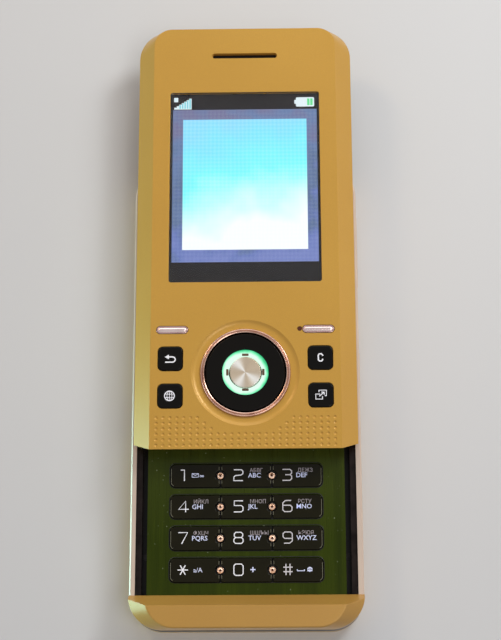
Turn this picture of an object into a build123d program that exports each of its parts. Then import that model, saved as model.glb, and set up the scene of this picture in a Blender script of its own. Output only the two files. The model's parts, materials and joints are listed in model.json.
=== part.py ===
"""Slider phone, modelled open.

The base holds the keypad, the chin, the battery and the main board. The slider holds the
display and the navigation keys, and runs on two rails along Y. X is across the phone, +Y
points from the chin to the ear slot, and +Z points out of the display. The origin is on
the back face, at the middle of the open phone.
"""

import os
from math import hypot

from build123d import *

os.makedirs("parts", exist_ok=True)

# ---------------------------------------------------------------- overall sizes
closed_length = 98.0
base_width = 47.0
slider_step = 0.65  # slider's side inside the base's side
travel = 30.8  # how far the slider runs
base_corner = 6.7  # plan corners of the base
corner_radius = 6.5  # plan corners of the slider at its waist
chin_length = 4.4  # from the end of the base to the chin's ridge
end_gap = 0.2  # between the ridge and the shut slider

# ---------------------------------------------------------------- layers, from the back up
battery_cover_thickness = 1.1
battery_clearance = 0.2  # above and below the battery
battery_thickness = 4.0
bay_roof = 0.5
board_thickness = 0.8
dome_height = 0.2
mat_thickness = 0.3
key_air = 0.3  # under every sprung key, a little more than its travel
key_flange = 0.3
flange_gap = 0.05
plate_thickness = 0.4
key_proud = 0.25  # keypad key above its plate
jewel_proud = 0.15  # jewel above the keypad keys
slide_air = 0.15  # jewel to the slider's underside
slider_side_height = 1.6  # upright lower part of the slider's sides
bevel_height = 3.5  # leaning upper part of the sides

battery_z = battery_cover_thickness + battery_clearance
bay_top_z = battery_z + battery_thickness + battery_clearance
board_z = bay_top_z + bay_roof
board_top_z = board_z + board_thickness
mat_z = board_top_z + dome_height
mat_top_z = mat_z + mat_thickness
key_z = mat_top_z + key_air
plate_z = key_z + key_flange + flange_gap
base_top_z = plate_z + plate_thickness
key_top_z = base_top_z + key_proud
jewel_top_z = key_top_z + jewel_proud
slider_z = jewel_top_z + slide_air
waist_z = slider_z + slider_side_height
face_z = waist_z + bevel_height

# ---------------------------------------------------------------- places along Y
base_end_y = -(closed_length + travel) / 2
base_top_y = base_end_y + closed_length
ridge_y = base_end_y + chin_length
slider_top_y = base_top_y + travel
slider_edge_y = ridge_y + end_gap + travel  # lower edge of the slider's face

# ---------------------------------------------------------------- shells
bevel_run = 3.4  # how far a side leans in over the bevel height
end_slope = 0.444  # run for each mm of drop, on the slider's lower end and the chin
face_corner = 3.8  # plan corners of the front face
slider_wall = 1.1
slider_skin = 1.0  # thickness of the front face
slider_lean = 1.0  # lean of the slider's top end
back_cover_thickness = 0.8
shell_fit = 0.1  # between shells that nest
base_wall = 1.2
back_edge_radius = 2.4
chin_skin = 1.0
chin_fall = 0.1  # drop of the chin's face for each mm towards its end
chin_edge_radius = 0.4
cut_margin = 14.0  # blocks run this far past the plane that trims them
cut_through = 0.1  # cuts run this far past a wall

# ---------------------------------------------------------------- battery cover and housing
cover_inset = 22.0  # cover's inner edge from the top end of the base
tongue_length = 1.2
tongue_width = 6.0
tongue_thickness = 0.5
tongue_pitch = 14.0
tongue_gap = 0.15
grip_count = 5
grip_pitch = 1.8
grip_width = 0.8
grip_length = 16.0
grip_depth = 0.25
grip_inset = 13.0  # first grip groove from the end of the base
battery_inset = 17.9  # from the end of the base
battery_top_inset = 26.1  # from the top end of the base
battery_corner = 2.0
battery_bevel = 0.4
bay_gap = 0.3  # round the battery
bay_wall = 1.2
bay_side_space = 3.8  # from the bay to the housing's side, for keys and screws
housing_floor = 0.8  # housing floor over the battery cover
sim_width = 25.6
sim_length = 12.2
sim_thickness = 1.1
sim_inset = 3.6  # from the end of the base
sim_gap = 0.2
sim_corner = 1.0
sim_frame = (5.1, 3.0)  # of the holder, at its sides and ends
sim_card_margin = 1.0
sim_wall = 0.8
support_rib = 1.2
support_rib_x = 12.0
post_side = 2.4
post_camera_gap = 1.7
post_inset = 4.1  # from the top end of the base

# ---------------------------------------------------------------- frame, channels and rails
band_height = 3.55  # side band of the frame
channel_floor = 0.8
channel_wall = 0.8
channel_width = 2.3  # from the frame's side to the slide plate
channel_end = 0.8  # wall that closes the channel at the chin
stop_length = 3.6  # block that closes the channel at the top
band_chamfer = 0.3
rail_sheet = 0.3
rail_web = 2.0
rail_lip = 0.9
rail_lip_sheet = 0.5
runner_gap = 0.1
runner_side_gap = 0.2
runner_stem = 0.5
runner_top_sheet = 0.4
runner_top_width = 1.2
slide_plate_thickness = 0.4
slide_plate_drop = 0.3  # its top below the keypad plate's top
slide_plate_corner = 5.0
keypad_plate_overlap = 4.8  # under the open slider
plate_joint_gap = 0.2

# ---------------------------------------------------------------- keypad
key_height = 4.72
row_margin = 4.65  # from the plate's side to the row
row_pitch = 6.37
first_row = 7.4  # lowest row of keys from the chin's ridge
key_split = 0.3  # between neighbours in a row
middle_key_width = 10.14
jewel_radius = 0.75
jewel_gap = 0.35
jewel_bevel = 0.25
key_outer_corner = 1.0
key_inner_corner = 0.25
key_window_gap = 0.14
flange_reach = 0.45
flange_inset = 1.2
dome_radius = 2.4
dome_sides = 8  # snap domes and mat nubs are eight-sided
mat_side_gap = 0.4
mat_corner = 1.0
mat_margin = 3.9  # mat past the outer rows' centres

# ---------------------------------------------------------------- side keys
side_key_height = 1.8
side_key_proud = 0.3
side_key_bevel = 0.2
side_key_corner = 0.6
side_key_flange = 0.45
side_key_flange_step = 0.4
side_key_stop_gap = 0.45  # flange to the wall's inner face
side_key_gap = 0.15
rocker_length = 16.0
rocker_inset = 18.1  # centre from the top end of the base
camera_key_length = 8.0
camera_key_inset = 44.1
power_key_length = 8.0
switch_thickness = 0.5
switch_length = 5.0
switch_air = 0.45
switch_rib = 0.8

# ---------------------------------------------------------------- parts inside the base
board_side_gap = 0.2
board_margin = 2.4  # from the chin end
board_top_margin = 3.1
board_corner = 3.0
can_height = 0.8
can_margin = 2.0  # inside the board's sides
can_gap = 2.5  # from the flex and the plates
can_corner = 1.0
contact_count = 3
contact_pitch = 2.4
contact_block = (7.6, 2.4, 3.0)
contact_x = 10.0
contact_gap = 0.2
contact_nub = (1.0, 0.15, 1.2)
camera_size = 9.0
camera_corner = 0.6
camera_board_gap = 0.3
camera_key_space = 0.75  # to the rib behind the power key
camera_barrel = 3.0
camera_glass_radius = 4.2
camera_glass_thickness = 0.55
camera_glass_bevel = 0.15
lens_cone = (1.9, 0.9, 1.0)  # outer radius, inner radius, depth
glass_gap = 0.1
glass_sink = 0.05
speaker_radius = 6.5
speaker_height = 3.0
speaker_bevel = 0.4
speaker_rim = 1.2
speaker_dish = 0.3
speaker_gap = 0.35  # to the edge of the upper hollow
grille_pitch = 1.8
grille_slit = 0.7
grille_length = 7.0
grille_count = 5
motor_length = 9.0
motor_radius = 2.0
motor_flat = 1.8
motor_inset = 14.1
shaft_radius = 0.4
shaft_length = 3.2
shaft_fit = 0.03
weight_length = 2.5
weight_radius = 1.7
weight_gap = 0.4
weight_hub = 0.5  # wall round the shaft
antenna_margin = 2.0  # inside the board's sides
antenna_depth = 1.2
antenna_gap = 0.26  # under the chin's ceiling
antenna_cells = 4
antenna_rib = 2.0  # between the cells
mic_size = (4.0, 2.5, 1.2)
mic_corner = 0.5
mic_x = -6.0
mic_inset = 5.3
connector_length = 10.4
connector_depth = 3.5
connector_head_gap = 0.3  # under the frame
connector_inset = 44.1  # centre from the end of the base
port_length = 8.8
port_height = 1.7
port_depth = 2.4
port_step = 0.3  # narrower inside than in the wall
blade_inset = 1.0
blade_height = 0.7
blade_back = 0.4
screw_radius = 0.7
screw_head_radius = 1.3
screw_head = 0.6
screw_gap = 0.05
screw_tip_gap = 0.5
screw_boss_side = 3.0
housing_screw_inset = 14.9  # from the end of the base
rocker_screw_gap = 4.0  # from the rocker's end to the other screws

# ---------------------------------------------------------------- slider parts
slider_board_thickness = 0.7
slider_board_margin = 0.5
lcd_side = 2.15  # display frame past the window's sides
lcd_end = 2.05  # and past its ends
lcd_gap = 0.1  # under the face
lcd_corner = 0.4
lcd_glass_step = 0.4  # glass past the window
lcd_glass_depth = 0.1
window_border = 3.6  # from the face's edge to the window
window_rise = 10.25  # from the soft keys to the window
window_top_inset = 15.9  # from the slider's top end
window_thickness = 0.8
window_corner = 0.5
window_gap = 0.05
window_ledge = 1.0
window_bevel = 0.1
ear_slot_length = 13.8
ear_slot_width = 1.05
ear_slot_inset = 7.35  # from the slider's top end
earpiece_length = 15.0
earpiece_width = 6.0
key_mat_sheet = 0.4
key_mat_margin = 1.45  # inside the face's edge
key_mat_corner = 1.0
key_mat_low = 4.0
key_mat_reach = 3.15  # past the soft keys
nub_radius = 0.9
slider_dome_radius = 1.8
cap_height = 2.0
cap_flange = 0.4
cap_flange_step = 0.5
cap_proud = 0.2
cap_bevel = 0.15
cap_gap = 0.12
nav_rise = 15.8
nav_radius = 8.1
nav_gap = 0.25  # to the trim ring
trim_width = 0.85
trim_thickness = 0.85
trim_bevel = 0.25
trim_ledge = 0.3
dish_width = 1.8
dish_depth = 0.4
light_gap = 0.2  # to the select key
light_width = 1.3
light_thickness = 1.2
light_sink = 0.15
nav_fit = 0.05
nav_thickness = 1.4
nav_bevel = 0.2
carrier_step = 0.3  # past the light ring's bore
carrier_margin = 0.5  # inside the navigation key
carrier_thickness = 0.3
nub_inset = 2.1  # ring of nubs inside the navigation key
select_radius = 3.2
select_bevel = 0.12
square_key = 5.0
square_key_corner = 1.0
square_key_inset = 4.14  # centre from the face's edge
square_key_rise = 10.95  # lower pair from the slider's lower edge
square_key_pitch = 7.8
soft_key_length = 6.4
soft_key_width = 1.5
soft_key_inset = 4.45  # centre from the face's edge
soft_key_pitch = 6.1  # from the upper square keys
sensor_gap = 0.63  # centre from the soft key's end
sensor_step = 0.1  # above the soft keys
sensor_radius = 0.45
sensor_sink = 0.05
top_screw_inset = (5.35, 5.4)  # from the slider's side and top end
low_screw_inset = (4.25, 5.1)  # from its side, and below the window
slider_boss_side = 2.4

# ---------------------------------------------------------------- spring and flex
wire_radius = 0.25
coil_radius = 3.0
spring_side_space = 9.0  # centre from the slide plate's side
spring_inset = 21.1  # centre from the top end of the base
spring_post_offset = (-4.0, -8.0)
slider_post_offset = (5.0, 9.0)
post_pin_radius = 0.5
eye_radius = 0.9
eye_bore = 0.6
flex_width = 12.0
flex_sheet = 0.12
flex_side_space = 4.0  # from the slide plate's side
flex_low_inset = 28.1  # from the top end of the base
flex_bend_inset = 10.1
flex_high_inset = 22.1
flex_slot = 1.0
flex_air = 0.05

# ---------------------------------------------------------------- depths from the outer face
side_key_depth = base_wall + side_key_stop_gap
flange_back = side_key_depth + side_key_flange
switch_front = flange_back + switch_air
switch_back = switch_front + switch_thickness
rib_back = switch_back + switch_rib

# ---------------------------------------------------------------- places across X
inner_x = base_width / 2 - base_wall
plate_x = inner_x - channel_width
plate_width = 2 * plate_x
channel_inner_x = plate_x - channel_wall
bay_wall_x = inner_x - bay_side_space
bay_x = bay_wall_x - bay_wall
battery_width = 2 * (bay_x - bay_gap)
board_width = 2 * (channel_inner_x - board_side_gap)
housing_screw_x = (bay_wall_x + inner_x) / 2
rib_x = base_width / 2 - rib_back
beside_camera_x = (camera_size / 2 + rib_x) / 2  # middle of the room beside the camera
post_x = camera_size / 2 + post_camera_gap + post_side / 2
row_width = 2 * (plate_x - row_margin)
jewel_x = (middle_key_width + key_split) / 2
spring_x = spring_side_space - plate_x
flex_x = plate_x - flex_side_space - flex_width / 2
slider_width = base_width - 2 * slider_step
slider_hollow_x = slider_width / 2 - slider_wall
face_width = slider_width - 2 * bevel_run
window_width = face_width - 2 * window_border
square_key_x = face_width / 2 - square_key_inset
soft_key_x = face_width / 2 - soft_key_inset
sensor_x = soft_key_x - soft_key_length / 2 - sensor_gap

# ---------------------------------------------------------------- radii round the navigation key
light_inner = select_radius + light_gap
light_outer = light_inner + light_width
trim_inner = nav_radius + nav_gap
trim_outer = trim_inner + trim_width
dish_radius = trim_outer + dish_width


# ---------------------------------------------------------------- shared shapes
def outline(width, y_low, y_high, radius, z):
    """Rounded rectangle across X, from y_low to y_high, at the height z."""
    with BuildSketch(Plane.XY.offset(z)) as sketch:
        with Locations((0, (y_low + y_high) / 2)):
            RectangleRounded(width, y_high - y_low, radius)
    return sketch.sketch


def box_between(x, y, z, mode=Mode.ADD):
    """Box in the open part, between two values on each axis."""
    middle = tuple((low + high) / 2 for low, high in (x, y, z))
    with Locations(middle):
        Box(x[1] - x[0], y[1] - y[0], z[1] - z[0], mode=mode)


def across(y):
    """Plane that stands across the phone at y, with X to the right and Z up."""
    return Plane(origin=(0, y, 0), x_dir=(1, 0, 0), z_dir=(0, -1, 0))


def end_plane(y):
    """Slanted plane of the slider's lower end, through the face at y."""
    return Plane(origin=(0, y, face_z), x_dir=(1, 0, 0), z_dir=(0, 1, end_slope))


def bevelled_block(width, y_low, y_high, lean, corners, floor_z, wall=0.0, skin=0.0):
    """Upright block whose sides lean in above the waist.

    The high end leans in by the lean, and the corners are its plan corners at the waist and
    at the face. The wall and the skin move its sides and its top inwards, for a shell's
    hollow.
    """
    share = (bevel_height - skin) / bevel_height

    def inset(lean):
        return wall * hypot(1, lean / bevel_height)

    waist = waist_z - (inset(bevel_run) - wall) * bevel_height / bevel_run
    waist_corner, top_corner = corners
    low = (width - 2 * wall, y_low + wall, y_high - wall, waist_corner - wall)
    high = (
        width - 2 * (bevel_run * share + inset(bevel_run)),
        y_low + wall,
        y_high - lean * share - inset(lean),
        waist_corner + (top_corner - waist_corner) * share - wall,
    )
    with BuildPart() as block:
        extrude(outline(*low, floor_z), amount=waist - floor_z)
        loft([outline(*low, waist), outline(*high, face_z - skin)], ruled=True)
    return block.part


# ---------------------------------------------------------------- base: shells
band_z = base_top_z - band_height
base_plan = (base_width, base_end_y, base_top_y, base_corner)
inner_plan = (
    base_width - 2 * base_wall,
    base_end_y + base_wall,
    base_top_y - base_wall,
    base_corner - base_wall,
)
cover_end_y = base_top_y - cover_inset
upper_low_y = cover_end_y + tongue_length + tongue_gap + base_wall
battery_length = closed_length - battery_inset - battery_top_inset
battery_y = base_end_y + battery_inset + battery_length / 2
bay_low_y = battery_y - battery_length / 2 - bay_gap
bay_high_y = battery_y + battery_length / 2 + bay_gap
housing_floor_z = battery_cover_thickness + housing_floor

with BuildPart() as back_form:
    extrude(outline(*base_plan, 0), amount=band_z)
    fillet(back_form.faces().sort_by(Axis.Z)[0].edges(), back_edge_radius)

tongue_z = battery_cover_thickness - tongue_gap - tongue_thickness
tongue_places = [(x, cover_end_y) for x in (-tongue_pitch, 0, tongue_pitch)]


def tongues(gap, mode):
    """Three tongues past the cover's inner edge, or with a gap the slots for them."""
    for x, y in tongue_places:
        box_between(
            (x - tongue_width / 2 - gap, x + tongue_width / 2 + gap),
            (y - tongue_length, y + tongue_length + gap),
            (tongue_z - gap, tongue_z + tongue_thickness + gap),
            mode,
        )


with BuildPart() as battery_cover:
    add(back_form.part)
    split(bisect_by=Plane.XY.offset(battery_cover_thickness), keep=Keep.BOTTOM)
    split(bisect_by=Plane.XZ.offset(-cover_end_y + shell_fit), keep=Keep.TOP)
    tongues(0, Mode.ADD)
    with BuildSketch(Plane.XY) as grips:
        with Locations((0, base_end_y + grip_inset)):
            with GridLocations(grip_length, grip_pitch, 1, grip_count):
                Rectangle(grip_length, grip_width)
    extrude(grips.sketch, amount=grip_depth, mode=Mode.SUBTRACT)
battery_cover.part.label = "battery_cover"
export_step(battery_cover.part, "parts/battery_cover.step")

rocker_y = base_top_y - rocker_inset
camera_key_y = base_top_y - camera_key_inset
side_key_z = (housing_floor_z + band_z) / 2 + 0.15
side_x = base_width / 2
right_face = Plane(origin=(side_x, 0, side_key_z), x_dir=(0, 1, 0), z_dir=(1, 0, 0))
top_face = Plane(origin=(0, base_top_y, side_key_z), x_dir=(-1, 0, 0), z_dir=(0, 1, 0))
side_keys = {
    "volume_rocker": (right_face, rocker_y, rocker_length),
    "camera_key": (right_face, camera_key_y, camera_key_length),
    "power_key": (top_face, 0, power_key_length),
}
camera_y = base_top_y - rib_back - camera_key_space - camera_size / 2
speaker_y = upper_low_y + speaker_gap + speaker_radius
connector_y = base_end_y + connector_inset
connector_height = band_z - housing_floor_z - connector_head_gap
connector_z = housing_floor_z + connector_height / 2
sim_y = base_end_y + sim_inset + sim_length / 2
sim_z = battery_cover_thickness + sim_gap
sim_roof_z = sim_z + sim_thickness + sim_gap / 2
contact_y = bay_high_y + contact_gap + contact_block[1] / 2
housing_screw_ys = (
    base_end_y + housing_screw_inset,
    rocker_y - rocker_length / 2 - rocker_screw_gap,
)
housing_screw_places = [
    (side * housing_screw_x, y) for side in (-1, 1) for y in housing_screw_ys
]

with BuildPart() as rear_housing:
    add(back_form.part)
    box_between(
        (-base_width, base_width),
        (base_end_y - cut_through, cover_end_y),
        (-cut_through, battery_cover_thickness),
        Mode.SUBTRACT,
    )
    tongues(tongue_gap, Mode.SUBTRACT)
    # Hollow over the battery cover, then the deeper one at the top end
    extrude(outline(*inner_plan, housing_floor_z), amount=band_z, mode=Mode.SUBTRACT)
    upper_plan = (inner_plan[0], upper_low_y, inner_plan[2], inner_plan[3])
    extrude(
        outline(*upper_plan, battery_cover_thickness),
        amount=band_z,
        mode=Mode.SUBTRACT,
    )
    # Battery bay with its roof, which carries the main board
    box_between(
        (-bay_wall_x, bay_wall_x),
        (bay_low_y - bay_wall, bay_high_y + bay_wall),
        (housing_floor_z, board_z),
    )
    box_between(
        (-bay_x, bay_x),
        (bay_low_y, bay_high_y),
        (battery_cover_thickness, bay_top_z),
        Mode.SUBTRACT,
    )
    # Slot for the battery contacts in the bay's upper wall
    contact_half = contact_block[0] / 2 + contact_gap
    box_between(
        (contact_x - contact_half, contact_x + contact_half),
        (bay_high_y - bay_gap, bay_high_y + bay_wall),
        (board_z - contact_block[2] - contact_gap, board_z),
        Mode.SUBTRACT,
    )
    # Card pocket with its roof, and the ribs over it
    sim_x = sim_width / 2 + sim_gap
    box_between(
        (-sim_x - sim_wall, sim_x + sim_wall),
        (base_end_y + base_wall, bay_low_y - bay_wall),
        (housing_floor_z, sim_roof_z + sim_wall),
    )
    box_between(
        (-sim_x, sim_x),
        (sim_y - sim_length / 2 - sim_gap, sim_y + sim_length / 2 + sim_gap),
        (battery_cover_thickness, sim_roof_z),
        Mode.SUBTRACT,
    )
    for x in (-support_rib_x, support_rib_x):
        box_between(
            (x - support_rib / 2, x + support_rib / 2),
            (base_end_y + base_wall + board_margin, bay_low_y - bay_wall),
            (sim_roof_z, board_z),
        )
    # Posts under the board's top end
    with BuildSketch(Plane.XY.offset(battery_cover_thickness)) as posts:
        with Locations((0, base_top_y - post_inset)):
            with GridLocations(2 * post_x, 1, 2, 1):
                Rectangle(post_side, post_side)
    extrude(posts.sketch, amount=board_z - battery_cover_thickness)
    # Side keys: slots in the walls and ribs behind the switches
    for face, along, length in side_keys.values():
        with BuildSketch(face) as slot:
            with Locations((along, 0)):
                RectangleRounded(
                    length + 2 * side_key_gap,
                    side_key_height + 2 * side_key_gap,
                    side_key_corner,
                )
        extrude(slot.sketch, amount=-base_wall - cut_through, mode=Mode.SUBTRACT)
        floor_z = battery_cover_thickness if face is top_face else housing_floor_z
        rib_low = floor_z - side_key_z
        rib_high = side_key_height / 2
        with BuildSketch(face.offset(-rib_back)) as rib:
            with Locations((along, (rib_low + rib_high) / 2)):
                Rectangle(length, rib_high - rib_low)
        extrude(rib.sketch, amount=switch_rib)
    # Connector opening in the left wall
    box_between(
        (-side_x - cut_through, -inner_x + cut_through),
        (connector_y - port_length / 2, connector_y + port_length / 2),
        (connector_z - port_height / 2, connector_z + port_height / 2),
        Mode.SUBTRACT,
    )
    # Camera glass seat and lens opening
    with Locations((0, camera_y, 0)):
        Cylinder(
            camera_glass_radius + glass_gap,
            2 * (glass_sink + camera_glass_thickness),
            mode=Mode.SUBTRACT,
        )
        Cylinder(camera_barrel, 4 * battery_cover_thickness, mode=Mode.SUBTRACT)
    # Loudspeaker grille
    with BuildSketch(Plane.XY) as grille:
        with Locations((beside_camera_x, speaker_y)):
            with GridLocations(grille_pitch, 1, grille_count, 1):
                Rectangle(grille_slit, grille_length)
    extrude(grille.sketch, amount=battery_cover_thickness, mode=Mode.SUBTRACT)
    # Screw bosses with countersunk holes
    with BuildSketch(Plane.XY.offset(housing_floor_z)) as bosses:
        with Locations(housing_screw_places):
            Rectangle(screw_boss_side, screw_boss_side)
    extrude(bosses.sketch, amount=band_z - housing_floor_z)
    with BuildSketch(Plane.XY.offset(battery_cover_thickness)) as screw_holes:
        with Locations(housing_screw_places):
            Circle(screw_radius + screw_gap)
    extrude(screw_holes.sketch, amount=band_z, mode=Mode.SUBTRACT)
    with BuildSketch(Plane.XY.offset(battery_cover_thickness)) as head_holes:
        with Locations(housing_screw_places):
            Circle(screw_head_radius + screw_gap)
    extrude(head_holes.sketch, amount=screw_head + screw_gap, mode=Mode.SUBTRACT)
rear_housing.part.label = "rear_housing"
export_step(rear_housing.part, "parts/rear_housing.step")

# ---------------------------------------------------------------- base: frame and rails
channel_floor_z = band_z + channel_floor
channel_low_y = ridge_y + end_slope * (face_z - base_top_z) - plate_joint_gap
channel_high_y = base_top_y - base_wall - stop_length
slide_plate_z = base_top_z - slide_plate_drop - slide_plate_thickness
keypad_plate_low_y = ridge_y + end_slope * (face_z - base_top_z)
keypad_plate_high_y = ridge_y + travel + keypad_plate_overlap

with BuildPart() as mid_frame:
    extrude(outline(*base_plan, band_z), amount=band_height)
    chamfer(mid_frame.faces().sort_by(Axis.Z)[-1].edges(), band_chamfer)
    extrude(outline(*inner_plan, band_z), amount=band_height, mode=Mode.SUBTRACT)
    # Channels for the rails, and the wall between them and the board
    with BuildSketch(across(base_top_y - base_wall)) as trough:
        with BuildLine():
            Polyline(
                (channel_inner_x, band_z),
                (inner_x, band_z),
                (inner_x, channel_floor_z),
                (plate_x, channel_floor_z),
                (plate_x, slide_plate_z),
                (channel_inner_x, slide_plate_z),
                close=True,
            )
        make_face()
        mirror(about=Plane.YZ)
    extrude(trough.sketch, amount=base_top_y - base_wall - channel_low_y + channel_end)
    for side in (-1, 1):
        x_span = sorted((side * channel_inner_x, side * plate_x))
        box_between(
            x_span,
            (channel_low_y - channel_end, keypad_plate_high_y),
            (slide_plate_z, plate_z),
        )
        x_span = sorted((side * channel_inner_x, side * (inner_x + band_chamfer)))
        box_between(
            x_span,
            (channel_low_y - channel_end, channel_low_y),
            (channel_floor_z, base_top_z),
        )
    # Stops that close the channels at the top end, inside the rounded corners
    with BuildSketch(Plane.XY.offset(channel_floor_z)) as stops:
        with Locations((0, (inner_plan[1] + inner_plan[2]) / 2)):
            RectangleRounded(inner_plan[0], inner_plan[2] - inner_plan[1], inner_plan[3])
        with Locations((0, 0)):
            Rectangle(2 * plate_x, closed_length + travel, mode=Mode.SUBTRACT)
        with Locations((0, channel_high_y - closed_length)):
            Rectangle(base_width, 2 * closed_length, mode=Mode.SUBTRACT)
    extrude(stops.sketch, amount=base_top_z - channel_floor_z)
    with BuildSketch(Plane.XY.offset(band_z)) as frame_holes:
        with Locations(housing_screw_places):
            Circle(screw_radius + screw_gap / 2)
    extrude(frame_holes.sketch, amount=channel_floor, mode=Mode.SUBTRACT)
mid_frame.part.label = "mid_frame"
export_step(mid_frame.part, "parts/mid_frame.step")

rail_high_y = base_top_y - base_corner - shell_fit
rail_top_z = channel_floor_z + rail_web
lip_x = inner_x - rail_sheet - rail_lip
lip_z = rail_top_z - rail_lip_sheet
with BuildPart() as guide_rails:
    with BuildSketch(across(rail_high_y)) as rail_section:
        with BuildLine():
            Polyline(
                (inner_x, channel_floor_z),
                (inner_x, rail_top_z),
                (lip_x, rail_top_z),
                (lip_x, lip_z),
                (inner_x - rail_sheet, lip_z),
                (inner_x - rail_sheet, channel_floor_z + rail_sheet),
                (lip_x, channel_floor_z + rail_sheet),
                (lip_x, channel_floor_z),
                close=True,
            )
        make_face()
        mirror(about=Plane.YZ)
    extrude(rail_section.sketch, amount=rail_high_y - channel_low_y)
guide_rails.part.label = "guide_rails"
export_step(guide_rails.part, "parts/guide_rails.step")

spring_y = base_top_y - spring_inset
flex_low_y = base_top_y - flex_low_inset
flex_bend_y = base_top_y - flex_bend_inset
flex_high_y = base_top_y - flex_high_inset
spring_base_post = (spring_x + spring_post_offset[0], spring_y + spring_post_offset[1])
spring_slider_post = (spring_x + slider_post_offset[0], spring_y + slider_post_offset[1])
slide_plate_top_z = slide_plate_z + slide_plate_thickness
wire_z = (slide_plate_top_z + slider_z) / 2
with BuildPart() as slide_base_plate:
    with BuildSketch(Plane.XY.offset(slide_plate_z)) as slide_sheet:
        sheet_low_y = keypad_plate_high_y + plate_joint_gap
        sheet_high_y = base_top_y - base_wall - plate_joint_gap
        with Locations((0, (sheet_low_y + sheet_high_y) / 2)):
            Rectangle(plate_width, sheet_high_y - sheet_low_y)
        fillet(slide_sheet.vertices().sort_by(Axis.Y)[-2:], slide_plate_corner)
        with Locations((flex_x, flex_low_y)):
            SlotOverall(flex_width + 2 * flex_slot, flex_slot, mode=Mode.SUBTRACT)
        with Locations((flex_x, (flex_high_y + flex_bend_y) / 2)):
            SlotOverall(flex_width, flex_slot * 4, mode=Mode.SUBTRACT)
    extrude(slide_sheet.sketch, amount=slide_plate_thickness)
    with Locations((*spring_base_post, slide_plate_top_z)):
        Cylinder(
            post_pin_radius,
            wire_z + wire_radius - slide_plate_top_z,
            align=(Align.CENTER, Align.CENTER, Align.MIN),
        )
slide_base_plate.part.label = "slide_base_plate"
export_step(slide_base_plate.part, "parts/slide_base_plate.step")

# ---------------------------------------------------------------- base: chin
with BuildPart() as chin_form:
    chin_corners = (base_corner, base_corner)
    chin_plan = (base_width, base_end_y, ridge_y + cut_margin, 0, chin_corners)
    add(bevelled_block(*chin_plan, base_top_z))
    split(bisect_by=end_plane(ridge_y), keep=Keep.BOTTOM)
    chin_face = Plane(origin=(0, ridge_y, face_z), x_dir=(1, 0, 0), z_dir=(0, -chin_fall, 1))
    split(bisect_by=chin_face, keep=Keep.BOTTOM)
    chin_top = chin_form.faces().sort_by(Axis.Z)[-1]
    fillet(chin_top.edges().sort_by(Axis.Y)[:-1], chin_edge_radius)
with BuildPart() as chin_hollow:
    add(bevelled_block(*chin_plan, base_top_z, base_wall, chin_skin + chin_fall * chin_length))
    split(bisect_by=end_plane(ridge_y).offset(-base_wall), keep=Keep.BOTTOM)
with BuildPart() as chin_cap:
    add(chin_form.part)
    add(chin_hollow.part, mode=Mode.SUBTRACT)
chin_cap.part.label = "chin_cap"
export_step(chin_cap.part, "parts/chin_cap.step")

# ---------------------------------------------------------------- base: keypad
row_ys = [ridge_y + first_row + row_pitch * row for row in range(4)]
key_names = (
    ("key_star", "key_0", "key_hash"),
    ("key_7", "key_8", "key_9"),
    ("key_4", "key_5", "key_6"),
    ("key_1", "key_2", "key_3"),
)
key_spans = (
    (-row_width / 2, -jewel_x - key_split / 2),
    (-jewel_x + key_split / 2, jewel_x - key_split / 2),
    (jewel_x + key_split / 2, row_width / 2),
)
column_xs = [(low + high) / 2 for low, high in key_spans]

with BuildPart() as keypad_plate:
    with BuildSketch(Plane.XY.offset(plate_z)) as plate_sketch:
        with Locations((0, (keypad_plate_low_y + keypad_plate_high_y) / 2)):
            Rectangle(plate_width, keypad_plate_high_y - keypad_plate_low_y)
        with Locations([(0, y) for y in row_ys]):
            RectangleRounded(
                row_width + 2 * key_window_gap,
                key_height + 2 * key_window_gap,
                key_outer_corner + key_window_gap,
                mode=Mode.SUBTRACT,
            )
    extrude(plate_sketch.sketch, amount=plate_thickness)
keypad_plate.part.label = "keypad_plate"
export_step(keypad_plate.part, "parts/keypad_plate.step")


def keypad_key(x_low, x_high, y):
    """Key cap of the row at y, with round bites for the jewels beside it."""
    with BuildPart() as key:
        with BuildSketch(Plane.XY.offset(key_z)) as cap:
            with Locations(((x_low + x_high) / 2, y)):
                Rectangle(x_high - x_low, key_height)
            at_left_end = x_low == -row_width / 2
            at_right_end = x_high == row_width / 2
            left_corner = key_outer_corner if at_left_end else key_inner_corner
            right_corner = key_outer_corner if at_right_end else key_inner_corner
            fillet(cap.vertices().group_by(Axis.X)[0], left_corner)
            fillet(cap.vertices().group_by(Axis.X)[-1], right_corner)
            with Locations((-jewel_x, y), (jewel_x, y)):
                Circle(jewel_radius + jewel_gap, mode=Mode.SUBTRACT)
        extrude(cap.sketch, amount=key_top_z - key_z)
        box_between(
            (x_low + flange_inset, x_high - flange_inset),
            (y - key_height / 2 - flange_reach, y + key_height / 2 + flange_reach),
            (key_z, key_z + key_flange),
        )
    return key


for names, row_y in zip(key_names, row_ys):
    for name, (span_low, span_high) in zip(names, key_spans):
        cap_key = keypad_key(span_low, span_high, row_y)
        cap_key.part.label = name
        export_step(cap_key.part, f"parts/{name}.step")

with BuildPart() as keypad_light_dots:
    with Locations([(side * jewel_x, y, mat_top_z) for side in (-1, 1) for y in row_ys]):
        Cylinder(
            jewel_radius,
            jewel_top_z - mat_top_z,
            align=(Align.CENTER, Align.CENTER, Align.MIN),
        )
    chamfer(
        keypad_light_dots.edges().filter_by(GeomType.CIRCLE).group_by(Axis.Z)[-1],
        jewel_bevel,
    )
keypad_light_dots.part.label = "keypad_light_dots"
export_step(keypad_light_dots.part, "parts/keypad_light_dots.step")

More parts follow.
